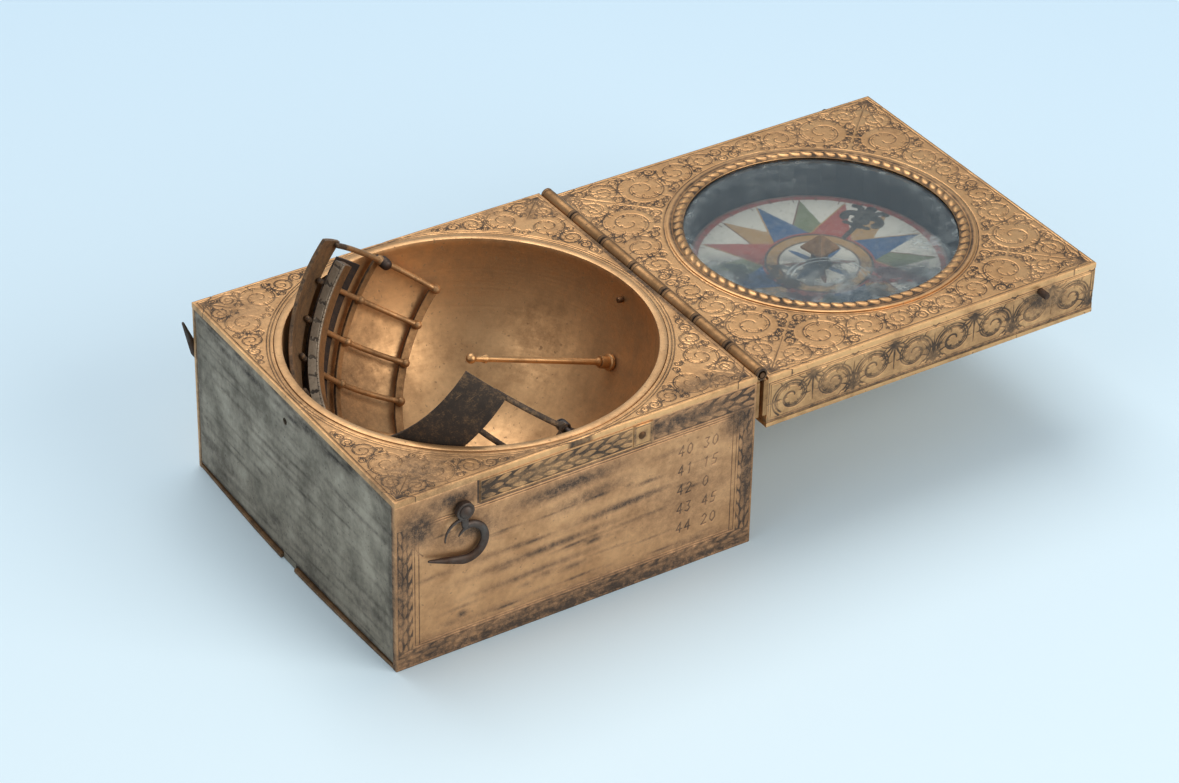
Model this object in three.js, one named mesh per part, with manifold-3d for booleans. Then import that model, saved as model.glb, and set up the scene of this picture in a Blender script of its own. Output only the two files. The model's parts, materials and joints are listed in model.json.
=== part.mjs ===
// Scaphe dial: a square gilt case with a hemispherical bowl sunk in its top, a gnomon pin, an hour cage
// that tilts in the bowl, and a hinged lid that holds a compass. It stands open, with the cage raised.
// Millimetres, +Z up. The origin is the centre of the underside; the lid's hinge is on the +X side.
import * as THREE from "three";
import { mergeVertices } from "three/addons/utils/BufferGeometryUtils.js";
import Module from "manifold-3d";

const wasm = await Module();
wasm.setup();

// Bowl, which sets the size of the case
const bowlRadius = 29.1;
const bowlWall = 0.6;
const bowlCentreDrop = 0.6;
const bowlFloorGap = 0.15;
const lipWidth = 1.3;
const lipRise = 0.2;
const lipGap = 0.1;

// Case plates
const wallThickness = 1;
const sideAllowance = 0.5;
const topPlateThickness = 1;
const bottomPlateThickness = 0.7;
const bottomSeam = 0.2;
const tabWidth = 4;
const tabOffset = 0.5;
const tabLift = 0.1;
const peepHoleRadius = 0.6;
const peepHoleOffset = 1.6;
const peepHoleBelowTop = 5;

// Ornament strip let into the front wall, with its rivet
const stripLength = 30.4;
const stripHeight = 4;
const stripThickness = 0.7;
const stripProud = 0.15;
const stripOffset = -2.3;
const stripGap = 0.1;
const stripRivetRadius = 0.7;
const stripRivetHeight = 0.4;
const stripRivetFromEnd = 2;

// Hinge of the lid
const barrelRadius = 1.05;
const barrelGap = 0.1;
const knuckleCount = 7;
const knuckleGap = 0.2;
const hingePinRadius = 0.45;
const hingePinGap = 0.3;
const leafThickness = 0.8;
const leafHeight = 6.5;
const leafClearance = 0.2;
const lidShutGap = 0.1;
const lidFaceDrop = 0.75;

// Lid box
const lidSideInset = 0.3;
const lidFaceThickness = 1;
const lidWallThickness = 1;
const lidBackThickness = 0.8;

// Compass in the lid
const wellRadius = 22.6;
const wellWall = 0.6;
const wellFloor = 0.4;
const wellBackGap = 0.1;
const seatGap = 0.05;
const glassThickness = 0.8;
const glassRecess = 0.1;
const glassFit = 0.2;
const cardDepth = 6.2;
const cardGap = 1.3;
const cardThickness = 0.3;
const bezelOverlap = 0.8;
const bezelWidth = 2.8;
const bezelHeight = 0.5;
const northAngle = 28;
const needleLength = 28;
const needleWidth = 4;
const needleThickness = 0.35;
const needleFloorGap = 0.35;
const capNeckRadius = 1.4;
const capNeckHeight = 2.7;
const capWidth = 6.4;
const capHeight = 1.3;
const capTopWidth = 0.4;
const capTurn = 64;
const capBoreDepth = 2.8;
const postRadius = 0.5;
const postTipRadius = 0.12;
const postGap = 0.3;

// Hooks on the front and back walls, and the studs that they hold
const hookThickness = 1;
const hookStandOff = 0.3;
const hookFromSide = 11.4;
const rearHookFromSide = 8;
const hookBelowTop = 4.95;
const hookEyeRadius = 1.5;
const hookNeckWidth = 1.5;
const hookDrop = 5.8;
const hookOffset = 0.4;
const hookInnerRadius = 2.3;
const hookBandWidth = 1.6;
const hookProngRise = 12;
const hookProngReach = 6.3;
const hookTipWidth = 0.5;
const hookRivetRadius = 0.55;
const hookRivetGap = 0.3;
const hookRivetHeadRadius = 1.1;
const hookRivetHeadHeight = 0.5;
const rearHookAngle = 55;
const studRadius = 0.6;
const studGap = 0.3;
const studReach = 0.4;

// Hour cage, laid out by declination on spheres about the bowl's centre
const cageBowlGap = 0.9;
const railThickness = 0.6;
const rungRadius = 0.45;
const rungGap = 0.1;
const rungCount = 13;
const rungBendAngle = 17;
const rungOverlapAngle = 1.3;
const knobRadius = 0.75;
const knobHeight = 1.3;
const tropicAngle = 23.4;
const tropicRailAngle = 2.8;
const equatorRailAngle = 2.4;
const equatorRailStart = 0.2;
const hourBandStart = 7.2;
const hourBandEnd = 20;
const hourScaleStart = 19.5;
const hourScaleEnd = 26;
const hourScaleThickness = 1.7;
const hourScaleLast = 150;
const hourScaleDrop = 2.2;
const northBandStart = 25.2;
const northBandEnd = 40.3;
const cageLatitude = 38.8;
const pivotPinRadius = 0.4;
const pivotPinGap = 0.25;
const pivotKnotRadius = 0.95;
const pivotKnotLength = 1.4;

// Gnomon pin and the peg at the rim
const gnomonAngle = 26;
const gnomonTipDrop = 3;
const gnomonRadius = 0.5;
const gnomonBallRadius = 0.85;
const gnomonCollarRadius = 0.75;
const gnomonCollarLength = 0.8;
const gnomonCollarInset = 2;
const socketRadius = 1.35;
const socketPlate = 0.6;
const socketCollarRadius = 1.05;
const socketLength = 2.2;
const socketGap = 0.2;
const socketStandOff = 0.3;
const pegAngle = 5;
const pegOffset = 1.5;
const pegRadius = 0.5;
const pegLength = 0.9;
const pegStandOff = 0.15;

// Fineness of round shapes
const roundSteps = 60;
const arcSteps = 10;
const bandSteps = 3;
const rodSides = 8;
const rungSteps = 7;
const pinSides = 16;

// Sizes and places worked out from those above
const lipRadius = bowlRadius + lipWidth;
const halfWidth = lipRadius + lipGap + wallThickness;
const halfLength = halfWidth + sideAllowance;
const bowlCentreZ = bottomPlateThickness + bowlFloorGap + bowlWall + bowlRadius;
const caseTop = bowlCentreZ + bowlCentreDrop;
const wallTop = caseTop - topPlateThickness;
const hingeX = halfLength + barrelGap + barrelRadius;
const lidShutLevel = Math.max(caseTop + lipRise, bowlCentreZ + pivotKnotRadius) + lidShutGap;
const hingeZ = lidShutLevel - lidFaceDrop;
const lidStart = hingeX + barrelRadius + barrelGap;
const lidEnd = lidStart + 2 * halfLength;
const lidHalfWidth = halfWidth - lidSideInset;
const lidTop = hingeZ - lidFaceDrop;
const glassTop = lidTop - glassRecess;
const glassBottom = glassTop - glassThickness;
const cardTop = glassBottom - cardDepth;
const needleTop = cardTop - cardThickness - seatGap;
const wellFloorTop = needleTop - needleThickness - needleFloorGap;
const lidBottom = wellFloorTop - wellFloor - wellBackGap - lidBackThickness;
const compassX = (lidStart + lidEnd) / 2;
const glassRadius = wellRadius + wellWall;
const cardRadius = wellRadius - cardGap;
const postHole = postRadius + postGap;
const cageOuterRadius = bowlRadius - cageBowlGap;
const cageInnerRadius = cageOuterRadius - railThickness;
const rungSphere = cageInnerRadius - rungGap - rungRadius;
const hourScaleOuter = rungSphere - rungRadius - rungGap;
const hookPivotZ = caseTop - hookBelowTop;
const hookInset = hookRivetHeadHeight + seatGap;

// Colours and finishes
const gilt = { color: 0xc4935a, roughness: 0.42, metalness: 1 };
const gildedBowl = { color: 0xb98a52, roughness: 0.5, metalness: 1 };
const silvered = { color: 0x8d8f8e, roughness: 0.55, metalness: 1 };
const darkBrass = { color: 0x5c4a36, roughness: 0.6, metalness: 1 };
const iron = { color: 0x3b3c3f, roughness: 0.6, metalness: 1 };
const paper = { color: 0xcfcdc4, roughness: 0.85, metalness: 0 };
const glass = { color: 0xdde6e8, roughness: 0.08, metalness: 0, transparent: true, opacity: 0.3 };

const radians = THREE.MathUtils.degToRad;
const point = (x, y, z) => new THREE.Vector3(x, y, z);

// A closed three.js geometry as a solid that can be joined and cut
function solid(geometry) {
  const bare = new THREE.BufferGeometry();
  bare.setAttribute("position", geometry.toNonIndexed().getAttribute("position"));
  const merged = mergeVertices(bare, 1e-4);
  const corners = merged.index.array;
  const kept = [];
  for (let i = 0; i < corners.length; i += 3) {
    const [a, b, c] = corners.slice(i, i + 3);
    if (a !== b && b !== c && c !== a) kept.push(a, b, c);
  }
  const mesh = new wasm.Mesh({
    numProp: 3,
    vertProperties: new Float32Array(merged.getAttribute("position").array),
    triVerts: new Uint32Array(kept),
  });
  return new wasm.Manifold(mesh);
}

const indexed = (geometry) => (geometry.index ? geometry : mergeVertices(geometry));

const shape3d = (geometry) => solid(indexed(geometry));

const join = (pieces) => pieces.reduce((whole, piece) => whole.add(piece));

// A named mesh from a solid and a finish
function piece(name, body, finish) {
  const { numProp, vertProperties, triVerts } = body.getMesh();
  const geometry = new THREE.BufferGeometry();
  geometry.setAttribute("position", new THREE.BufferAttribute(vertProperties, numProp));
  geometry.setIndex(new THREE.BufferAttribute(triVerts, 1));
  geometry.computeVertexNormals();
  const mesh = new THREE.Mesh(geometry, new THREE.MeshStandardMaterial(finish));
  mesh.name = name;
  return mesh;
}

function block(low, high) {
  const [x, y, z] = high.map((value, i) => value - low[i]);
  const geometry = new THREE.BoxGeometry(x, y, z);
  geometry.translate(low[0] + x / 2, low[1] + y / 2, low[2] + z / 2);
  return shape3d(geometry);
}

// A straight rod between two points; its end radius may differ from its start radius
function rod(from, to, startRadius, sides, endRadius = startRadius) {
  const along = to.clone().sub(from);
  const geometry = new THREE.CylinderGeometry(endRadius, startRadius, along.length(), sides);
  geometry.translate(0, along.length() / 2, 0);
  geometry.applyQuaternion(new THREE.Quaternion().setFromUnitVectors(point(0, 1, 0), along.normalize()));
  geometry.translate(from.x, from.y, from.z);
  return shape3d(geometry);
}

function ball(centre, radius, sides) {
  const geometry = new THREE.SphereGeometry(radius, sides, sides / 2);
  return shape3d(geometry.translate(centre.x, centre.y, centre.z));
}

// A turned solid about the Z axis from [radius, height] corners, listed with the outside going up
function turned(corners, steps = roundSteps) {
  const profile = corners.map(([radius, height]) => new THREE.Vector2(radius, height));
  if (corners[0][0] > 0) profile.push(profile[0].clone());
  const geometry = new THREE.LatheGeometry(profile, steps);
  return shape3d(geometry.rotateX(Math.PI / 2));
}

// Corners of an arc in a turned profile, by angle above the horizontal
function arcCorners(radius, startAngle, endAngle, steps, centreHeight = 0) {
  return Array.from({ length: steps + 1 }, (_, i) => {
    const angle = radians(startAngle + ((endAngle - startAngle) * i) / steps);
    return [radius * Math.cos(angle), centreHeight + radius * Math.sin(angle)];
  });
}

// A rod bent through a row of points
function bentRod(points, radius, sides, steps) {
  const section = new THREE.Shape().absarc(0, 0, radius, 0, 2 * Math.PI, false);
  const extrudePath = new THREE.CatmullRomCurve3(points);
  const options = { steps, extrudePath, bevelEnabled: false, curveSegments: sides / 2 };
  return shape3d(new THREE.ExtrudeGeometry(section, options));
}

// A rectangular plate with one round hole
function holedPlate(low, high, holeCentre, holeRadius) {
  const outline = new THREE.Shape();
  outline.moveTo(low[0], low[1]);
  outline.lineTo(high[0], low[1]);
  outline.lineTo(high[0], high[1]);
  outline.lineTo(low[0], high[1]);
  outline.closePath();
  outline.holes.push(new THREE.Path().absarc(holeCentre[0], holeCentre[1], holeRadius, 0, 2 * Math.PI, true));
  const options = { depth: high[2] - low[2], bevelEnabled: false, curveSegments: roundSteps / 2 };
  return shape3d(new THREE.ExtrudeGeometry(outline, options).translate(0, 0, low[2]));
}

// Case: bottom, four walls, top plate and bowl

function bottomPlate() {
  const inner = halfWidth - wallThickness;
  const plate = block([-halfLength, -inner, 0], [halfLength - wallThickness, inner, bottomPlateThickness]);
  const notchHalf = tabWidth / 2 + bottomSeam;
  const notchDepth = wallThickness + bottomSeam;
  const notch = block(
    [-halfLength - 1, tabOffset - notchHalf, -1],
    [-halfLength + notchDepth, tabOffset + notchHalf, bottomPlateThickness + 1],
  );
  return plate.subtract(notch);
}

function frontWall() {
  const wall = block([-halfLength, -halfWidth, 0], [halfLength, -halfWidth + wallThickness, wallTop]);
  const pocketHalf = stripLength / 2 + stripGap;
  const pocketDepth = stripThickness - stripProud + seatGap;
  const pocket = block(
    [stripOffset - pocketHalf, -halfWidth - 1, wallTop - stripHeight - 2 * stripGap],
    [stripOffset + pocketHalf, -halfWidth + pocketDepth, wallTop + 1],
  );
  return wall.subtract(pocket);
}

function backWall() {
  return block([-halfLength, halfWidth - wallThickness, 0], [halfLength, halfWidth, wallTop]);
}

function leftWall() {
  const inner = halfWidth - wallThickness;
  const foot = bottomPlateThickness + bottomSeam;
  const wall = block([-halfLength, -inner, foot], [-halfLength + wallThickness, inner, wallTop]);
  const tab = block(
    [-halfLength, tabOffset - tabWidth / 2, tabLift],
    [-halfLength + wallThickness, tabOffset + tabWidth / 2, foot + 1],
  );
  const holeZ = caseTop - peepHoleBelowTop;
  const hole = rod(
    point(-halfLength - 1, peepHoleOffset, holeZ),
    point(-halfLength + wallThickness + 1, peepHoleOffset, holeZ),
    peepHoleRadius,
    pinSides,
  );
  return wall.add(tab).subtract(hole);
}

function rightWall() {
  const inner = halfWidth - wallThickness;
  return block([halfLength - wallThickness, -inner, 0], [halfLength, inner, wallTop]);
}

function topPlate() {
  const low = [-halfLength, -halfWidth, wallTop];
  return holedPlate(low, [halfLength, halfWidth, caseTop], [0, 0], lipRadius + lipGap);
}

// The bowl: a hemisphere with a flat lip that sits in the hole of the top plate
function scapheBowl() {
  const outer = bowlRadius + bowlWall;
  const outside = arcCorners(outer, -90, 0, arcSteps, bowlCentreZ);
  const inside = arcCorners(bowlRadius, 0, -90, arcSteps, bowlCentreZ);
  outside[0][0] = 0;
  inside[arcSteps][0] = 0;
  const underLip = outside.filter(([, height]) => height < wallTop);
  const lipFoot = Math.sqrt(outer ** 2 - Math.max(0, bowlCentreZ - wallTop) ** 2);
  const lipTop = caseTop + lipRise;
  const lip = [
    [lipFoot, wallTop],
    [lipRadius, wallTop],
    [lipRadius, lipTop],
    [bowlRadius, lipTop],
  ];
  return turned([...underLip, ...lip, ...inside]);
}

function ornamentStrip() {
  const face = -halfWidth - stripProud;
  return block(
    [stripOffset - stripLength / 2, face, wallTop - stripHeight - stripGap],
    [stripOffset + stripLength / 2, face + stripThickness, wallTop - stripGap],
  );
}

function ornamentStripRivet() {
  const face = -halfWidth - stripProud;
  const x = stripOffset + stripLength / 2 - stripRivetFromEnd;
  const z = wallTop - stripGap - stripHeight / 2;
  const head = point(x, face - stripRivetHeight, z);
  return rod(point(x, face, z), head, stripRivetRadius, pinSides, stripRivetRadius / 2);
}

// Hinge: a leaf on the case and one on the lid, with knuckles in turn along one pin

const knucklePitch = (2 * lidHalfWidth) / knuckleCount;

function hingeLeaf(leafLowX, onLid) {
  const leafTop = hingeZ - barrelRadius - leafClearance;
  const leafHighX = leafLowX + leafThickness;
  const parts = [block([leafLowX, -lidHalfWidth, leafTop - leafHeight], [leafHighX, lidHalfWidth, leafTop])];
  for (let i = onLid ? 1 : 0; i < knuckleCount; i += 2) {
    const low = -lidHalfWidth + i * knucklePitch + knuckleGap / 2;
    const high = low + knucklePitch - knuckleGap;
    parts.push(block([leafLowX, low, leafTop - leafThickness], [leafHighX, high, hingeZ]));
    parts.push(rod(point(hingeX, low, hingeZ), point(hingeX, high, hingeZ), barrelRadius, pinSides));
  }
  const past = lidHalfWidth + 1;
  const boreRadius = hingePinRadius + hingePinGap;
  const bore = rod(point(hingeX, -past, hingeZ), point(hingeX, past, hingeZ), boreRadius, pinSides);
  return join(parts).subtract(bore);
}

function hingePin() {
  const from = point(hingeX, -lidHalfWidth, hingeZ);
  const to = point(hingeX, lidHalfWidth, hingeZ);
  return rod(from, to, hingePinRadius, pinSides);
}

// Lid box, lying open and level beside the case

function lidFace() {
  const low = [lidStart, -lidHalfWidth, lidTop - lidFaceThickness];
  return holedPlate(low, [lidEnd, lidHalfWidth, lidTop], [compassX, 0], glassRadius + glassFit);
}

function lidBack() {
  const top = lidBottom + lidBackThickness;
  return block([lidStart, -lidHalfWidth, lidBottom], [lidEnd, lidHalfWidth, top]);
}

function lidLongWall(side) {
  const outer = side * lidHalfWidth;
  const inner = side * (lidHalfWidth - lidWallThickness);
  return block(
    [lidStart, Math.min(outer, inner), lidBottom + lidBackThickness],
    [lidEnd, Math.max(outer, inner), lidTop - lidFaceThickness],
  );
}

function lidCrossWall(lowX) {
  const inner = lidHalfWidth - lidWallThickness;
  return block(
    [lowX, -inner, lidBottom + lidBackThickness],
    [lowX + lidWallThickness, inner, lidTop - lidFaceThickness],
  );
}

// Compass, turned about its own centre and then placed in the lid

function compassWell() {
  return turned([
    [0, wellFloorTop - wellFloor],
    [glassRadius, wellFloorTop - wellFloor],
    [glassRadius, glassBottom - seatGap],
    [wellRadius, glassBottom - seatGap],
    [wellRadius, wellFloorTop],
    [0, wellFloorTop],
  ]);
}

function compassCard() {
  return turned([
    [cardRadius, cardTop - cardThickness],
    [cardRadius, cardTop],
    [postHole, cardTop],
    [postHole, cardTop - cardThickness],
  ]);
}

function compassGlass() {
  return turned([
    [0, glassBottom],
    [glassRadius, glassBottom],
    [glassRadius, glassTop],
    [0, glassTop],
  ]);
}

// The bezel is a half-round bead that covers the edge of the glass
function compassBezel() {
  const inner = wellRadius + wellWall - bezelOverlap;
  const foot = lidTop + seatGap;
  const middle = inner + bezelWidth / 2;
  const crown = arcCorners(1, 0, 180, bandSteps * 2).map(([across, up]) => [
    middle + (across * bezelWidth) / 2,
    foot + up * bezelHeight,
  ]);
  return turned(crown);
}

// The post stands on the floor of the well and carries the card by its cap
function needlePost() {
  const from = point(0, 0, wellFloorTop + seatGap);
  const shoulder = point(0, 0, cardTop + capBoreDepth / 2);
  const tip = point(0, 0, cardTop + capBoreDepth - postGap);
  const shank = rod(from, shoulder, postRadius, pinSides);
  return shank.add(rod(shoulder, tip, postRadius, pinSides, postTipRadius));
}

// The needle: a lozenge fixed under the card, with a hole for the post
function compassNeedle() {
  const outline = new THREE.Shape();
  outline.moveTo(-needleLength / 2, 0);
  outline.lineTo(0, -needleWidth / 2);
  outline.lineTo(needleLength / 2, 0);
  outline.lineTo(0, needleWidth / 2);
  outline.closePath();
  outline.holes.push(new THREE.Path().absarc(0, 0, postHole, 0, 2 * Math.PI, true));
  const options = { depth: needleThickness, bevelEnabled: false, curveSegments: pinSides / 2 };
  const lozenge = new THREE.ExtrudeGeometry(outline, options);
  return shape3d(lozenge.translate(0, 0, needleTop - needleThickness));
}

// The cap stands on the card: a round neck and a four-sided point, bored from below for the post
function needleCap() {
  const foot = cardTop + seatGap;
  const shoulder = foot + capNeckHeight;
  const neck = rod(point(0, 0, foot), point(0, 0, shoulder), capNeckRadius, pinSides);
  const peak = point(0, 0, shoulder + capHeight);
  const roof = rod(point(0, 0, shoulder), peak, capWidth / 2, 4, capTopWidth / 2);
  const bore = rod(point(0, 0, foot - 1), point(0, 0, cardTop + capBoreDepth), postHole, pinSides);
  return neck.add(roof.rotate([0, 0, capTurn])).subtract(bore);
}

// Hooks, drawn about their pivot as they hang: an eye, a neck, an open curve and a pointed prong

// The way from the middle of the curve to where the prong leaves it, and the way that the prong runs
const hookBed = new THREE.Vector2(-Math.sin(radians(hookProngRise)), -Math.cos(radians(hookProngRise)));
const hookProngWay = new THREE.Vector2(-Math.cos(radians(hookProngRise)), Math.sin(radians(hookProngRise)));
const hookCentre = new THREE.Vector2(hookOffset, -hookDrop);

function catchHook() {
  const outerRadius = hookInnerRadius + hookBandWidth;
  const bedAngle = Math.atan2(hookBed.y, hookBed.x);
  const innerFoot = hookCentre.clone().addScaledVector(hookBed, hookInnerRadius);
  const innerTip = innerFoot.clone().addScaledVector(hookProngWay, hookProngReach);
  const outerTip = innerTip.clone().addScaledVector(hookBed, hookTipWidth);
  const outline = new THREE.Shape();
  outline.moveTo(hookOffset, -hookDrop + outerRadius);
  outline.absarc(hookOffset, -hookDrop, outerRadius, Math.PI / 2, bedAngle, true);
  outline.lineTo(outerTip.x, outerTip.y);
  outline.lineTo(innerTip.x, innerTip.y);
  outline.lineTo(innerFoot.x, innerFoot.y);
  outline.absarc(hookOffset, -hookDrop, hookInnerRadius, bedAngle, Math.PI / 2, false);
  outline.closePath();
  const options = { depth: hookThickness, bevelEnabled: false, curveSegments: arcSteps };
  const curve = shape3d(new THREE.ExtrudeGeometry(outline, options).rotateX(Math.PI / 2));
  const back = point(0, 0, 0);
  const face = point(0, -hookThickness, 0);
  const eye = rod(back, face, hookEyeRadius, pinSides);
  const neckFoot = -hookDrop + hookInnerRadius + hookBandWidth / 2;
  const neck = block([-hookNeckWidth / 2, -hookThickness, neckFoot], [hookNeckWidth / 2, 0, 0]);
  const bore = rod(point(0, 1, 0), point(0, -hookThickness - 1, 0), hookRivetRadius + hookRivetGap, pinSides);
  return join([curve, eye, neck]).subtract(bore);
}

// A rivet that stands on a wall: shank through the hook's eye, and a domed head. Built pointing to -Y.
function hookRivet() {
  const shankEnd = hookStandOff + hookThickness + seatGap;
  const shank = rod(point(0, 0, 0), point(0, -shankEnd, 0), hookRivetRadius, pinSides);
  const headEnd = shankEnd + hookInset;
  const headFoot = point(0, -shankEnd, 0);
  const head = rod(headFoot, point(0, -headEnd, 0), hookRivetHeadRadius, pinSides, hookRivetRadius);
  return shank.add(head);
}

// Where a stud stands on the open lid so that the turned-up hook holds it when the lid is shut
function studPlace(hookX) {
  const seat = hookCentre.clone().addScaledVector(hookBed, hookInnerRadius - studGap - studRadius);
  const shutX = hookX - seat.x;
  const shutZ = hookPivotZ - seat.y;
  return { x: 2 * hingeX - shutX, z: 2 * hingeZ - shutZ };
}

function lidStud(hookX, side) {
  const { x, z } = studPlace(hookX);
  const end = halfWidth + hookStandOff + hookThickness + studReach;
  return rod(point(x, side * lidHalfWidth, z), point(x, side * end, z), studRadius, pinSides);
}

// Hour cage, built lying flat in the bowl: its polar axis runs to -X, its half circles hang below the pivots

// A band between two declinations and two spheres, kept below a level
function cageBand(innerRadius, outerRadius, startAngle, endAngle, topLevel, steps = 1) {
  const outside = arcCorners(outerRadius, startAngle, endAngle, steps);
  const inside = arcCorners(innerRadius, endAngle, startAngle, steps);
  const profile = [...outside, ...inside].map(([radius, height]) => new THREE.Vector2(radius, height));
  profile.push(profile[0].clone());
  const ring = shape3d(new THREE.LatheGeometry(profile, roundSteps).rotateZ(Math.PI / 2));
  const reach = outerRadius + 1;
  return ring.intersect(block([-reach, -reach, -reach], [reach, reach, topLevel]));
}

// The part of a band that lies between the back pivot and an hour angle
function beforeHour(band, hourAngle) {
  return band.trimByPlane([0, Math.sin(radians(hourAngle)), Math.cos(radians(hourAngle))], 0);
}

// A point of the cage by sphere, declination north of the equator, and hour angle from the pivot
function cagePoint(radius, declination, hourAngle) {
  const ring = radius * Math.cos(radians(declination));
  const north = radius * Math.sin(radians(declination));
  return point(-north, ring * Math.cos(radians(hourAngle)), -ring * Math.sin(radians(hourAngle)));
}

const railTop = -(pivotPinRadius + pivotPinGap);

function tropicRail() {
  const half = tropicRailAngle / 2;
  return cageBand(cageInnerRadius, cageOuterRadius, -tropicAngle - half, -tropicAngle + half, railTop);
}

function equatorRail() {
  const end = equatorRailStart + equatorRailAngle;
  return cageBand(cageInnerRadius, cageOuterRadius, equatorRailStart, end, railTop);
}

function hourBand() {
  const top = -hourScaleDrop;
  const band = cageBand(cageInnerRadius, cageOuterRadius, hourBandStart, hourBandEnd, top, bandSteps);
  return beforeHour(band, hourScaleLast);
}

function hourScale() {
  const inner = hourScaleOuter - hourScaleThickness;
  const band = cageBand(inner, hourScaleOuter, hourScaleStart, hourScaleEnd, -hourScaleDrop);
  return beforeHour(band, hourScaleLast);
}

function northBand() {
  return cageBand(cageInnerRadius, cageOuterRadius, northBandStart, northBandEnd, rungRadius, bandSteps);
}

// The rivet knob of a rung, from the rail's inner face inwards
function knob(declination, hourAngle) {
  const foot = cagePoint(cageInnerRadius - rungGap, declination, hourAngle);
  const head = cagePoint(cageInnerRadius - rungGap - knobHeight, declination, hourAngle);
  return rod(foot, head, knobRadius, rodSides, rungRadius);
}

// A bent rung that lies inside the rails, with a knob where it is fixed to each
function rung(index) {
  const hourAngle = (180 * index) / (rungCount - 1);
  const equator = equatorRailStart + equatorRailAngle / 2;
  const bends = [-tropicAngle, equator, rungBendAngle, northBandStart + rungOverlapAngle];
  const corners = bends.map((declination) => cagePoint(rungSphere, declination, hourAngle));
  const knobs = [-tropicAngle, equator].map((declination) => knob(declination, hourAngle));
  const body = join([bentRod(corners, rungRadius, rodSides, rungSteps), ...knobs]);
  const atPivot = index === 0 || index === rungCount - 1;
  return atPivot ? withPivotKnot(body, Math.sign(Math.cos(radians(hourAngle)))) : body;
}

// The first and last rungs carry a bored knot that turns on a pivot pin
function withPivotKnot(body, side) {
  const outer = rungSphere + rungRadius;
  const knot = rod(
    point(0, side * (outer - pivotKnotLength), 0),
    point(0, side * outer, 0),
    pivotKnotRadius,
    pinSides,
  );
  const boreRadius = pivotPinRadius + pivotPinGap;
  const bore = rod(point(0, 0, 0), point(0, side * (outer + 1), 0), boreRadius, pinSides);
  return body.add(knot).subtract(bore);
}

function pivotPin(side) {
  const inner = rungSphere + rungRadius - pivotKnotLength - pivotPinGap;
  const outer = bowlRadius - rungGap;
  return rod(
    point(0, side * inner, bowlCentreZ),
    point(0, side * outer, bowlCentreZ),
    pivotPinRadius,
    pinSides,
  );
}

// Gnomon: a turned pin from a socket low on the bowl, towards the hinge, to the middle of the bowl

const gnomonFoot = point(Math.cos(radians(gnomonAngle)), 0, -Math.sin(radians(gnomonAngle)));
gnomonFoot.multiplyScalar(bowlRadius);
gnomonFoot.z += bowlCentreZ;
const gnomonTip = point(0, 0, bowlCentreZ - gnomonTipDrop);
const gnomonAim = gnomonTip.clone().sub(gnomonFoot).normalize();
const gnomonLength = gnomonTip.distanceTo(gnomonFoot);

// Turns a solid that was made along +Z from the origin to stand on the bowl and point at the gnomon's tip
function alongGnomon(mesh) {
  mesh.position.copy(gnomonFoot);
  mesh.quaternion.setFromUnitVectors(point(0, 0, 1), gnomonAim);
  return mesh;
}

function gnomonSocket() {
  const bore = gnomonRadius + socketGap;
  const top = socketStandOff + socketLength;
  const boreFloor = socketStandOff + socketPlate;
  return turned(
    [
      [0, socketStandOff],
      [socketRadius, socketStandOff],
      [socketRadius, socketStandOff + socketPlate],
      [socketCollarRadius, socketStandOff + socketPlate],
      [socketCollarRadius, top],
      [bore, top],
      [bore, boreFloor],
      [0, boreFloor],
    ],
    pinSides,
  );
}

function gnomonPin() {
  const foot = socketStandOff + socketPlate + seatGap;
  const collarAt = socketStandOff + socketLength + seatGap;
  const tipCollar = gnomonLength - gnomonBallRadius - gnomonCollarInset;
  const from = point(0, 0, foot);
  const ring = (start) => {
    const end = start + gnomonCollarLength;
    return rod(point(0, 0, start), point(0, 0, end), gnomonCollarRadius, pinSides, gnomonRadius);
  };
  const shaft = rod(from, point(0, 0, gnomonLength), gnomonRadius, pinSides);
  const nodus = ball(point(0, 0, gnomonLength), gnomonBallRadius, pinSides);
  return join([shaft, ring(collarAt), ring(tipCollar), nodus]);
}

function rimPeg() {
  const out = point(Math.cos(radians(pegAngle)), 0, -Math.sin(radians(pegAngle)));
  const surface = Math.sqrt(bowlRadius ** 2 - pegOffset ** 2) - pegStandOff;
  const outer = out.clone().multiplyScalar(surface);
  const inner = out.clone().multiplyScalar(surface - pegLength);
  const shift = point(0, pegOffset, bowlCentreZ);
  return rod(outer.add(shift), inner.add(shift), pegRadius, pinSides);
}

// The assembly

const dial = new THREE.Group();

dial.add(
  piece("bottom_plate", bottomPlate(), gilt),
  piece("front_wall", frontWall(), gilt),
  piece("back_wall", backWall(), gilt),
  piece("left_wall", leftWall(), silvered),
  piece("right_wall", rightWall(), gilt),
  piece("top_plate", topPlate(), gilt),
  piece("scaphe_bowl", scapheBowl(), gildedBowl),
  piece("ornament_strip", ornamentStrip(), gilt),
  piece("ornament_strip_rivet", ornamentStripRivet(), darkBrass),
  piece("case_hinge_leaf", hingeLeaf(halfLength, false), gilt),
  piece("hinge_pin", hingePin(), darkBrass),
  piece("pivot_pin_back", pivotPin(1), darkBrass),
  piece("pivot_pin_front", pivotPin(-1), darkBrass),
  alongGnomon(piece("gnomon_socket", gnomonSocket(), gilt)),
  alongGnomon(piece("gnomon_pin", gnomonPin(), gilt)),
  piece("rim_peg", rimPeg(), darkBrass),
);

const lid = new THREE.Group();
lid.add(
  piece("lid_hinge_leaf", hingeLeaf(lidStart - leafThickness, true), gilt),
  piece("lid_face", lidFace(), gilt),
  piece("lid_back", lidBack(), gilt),
  piece("lid_front_wall", lidLongWall(-1), gilt),
  piece("lid_rear_wall", lidLongWall(1), gilt),
  piece("lid_hinge_wall", lidCrossWall(lidStart), gilt),
  piece("lid_far_wall", lidCrossWall(lidEnd - lidWallThickness), gilt),
);
dial.add(lid);

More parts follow.
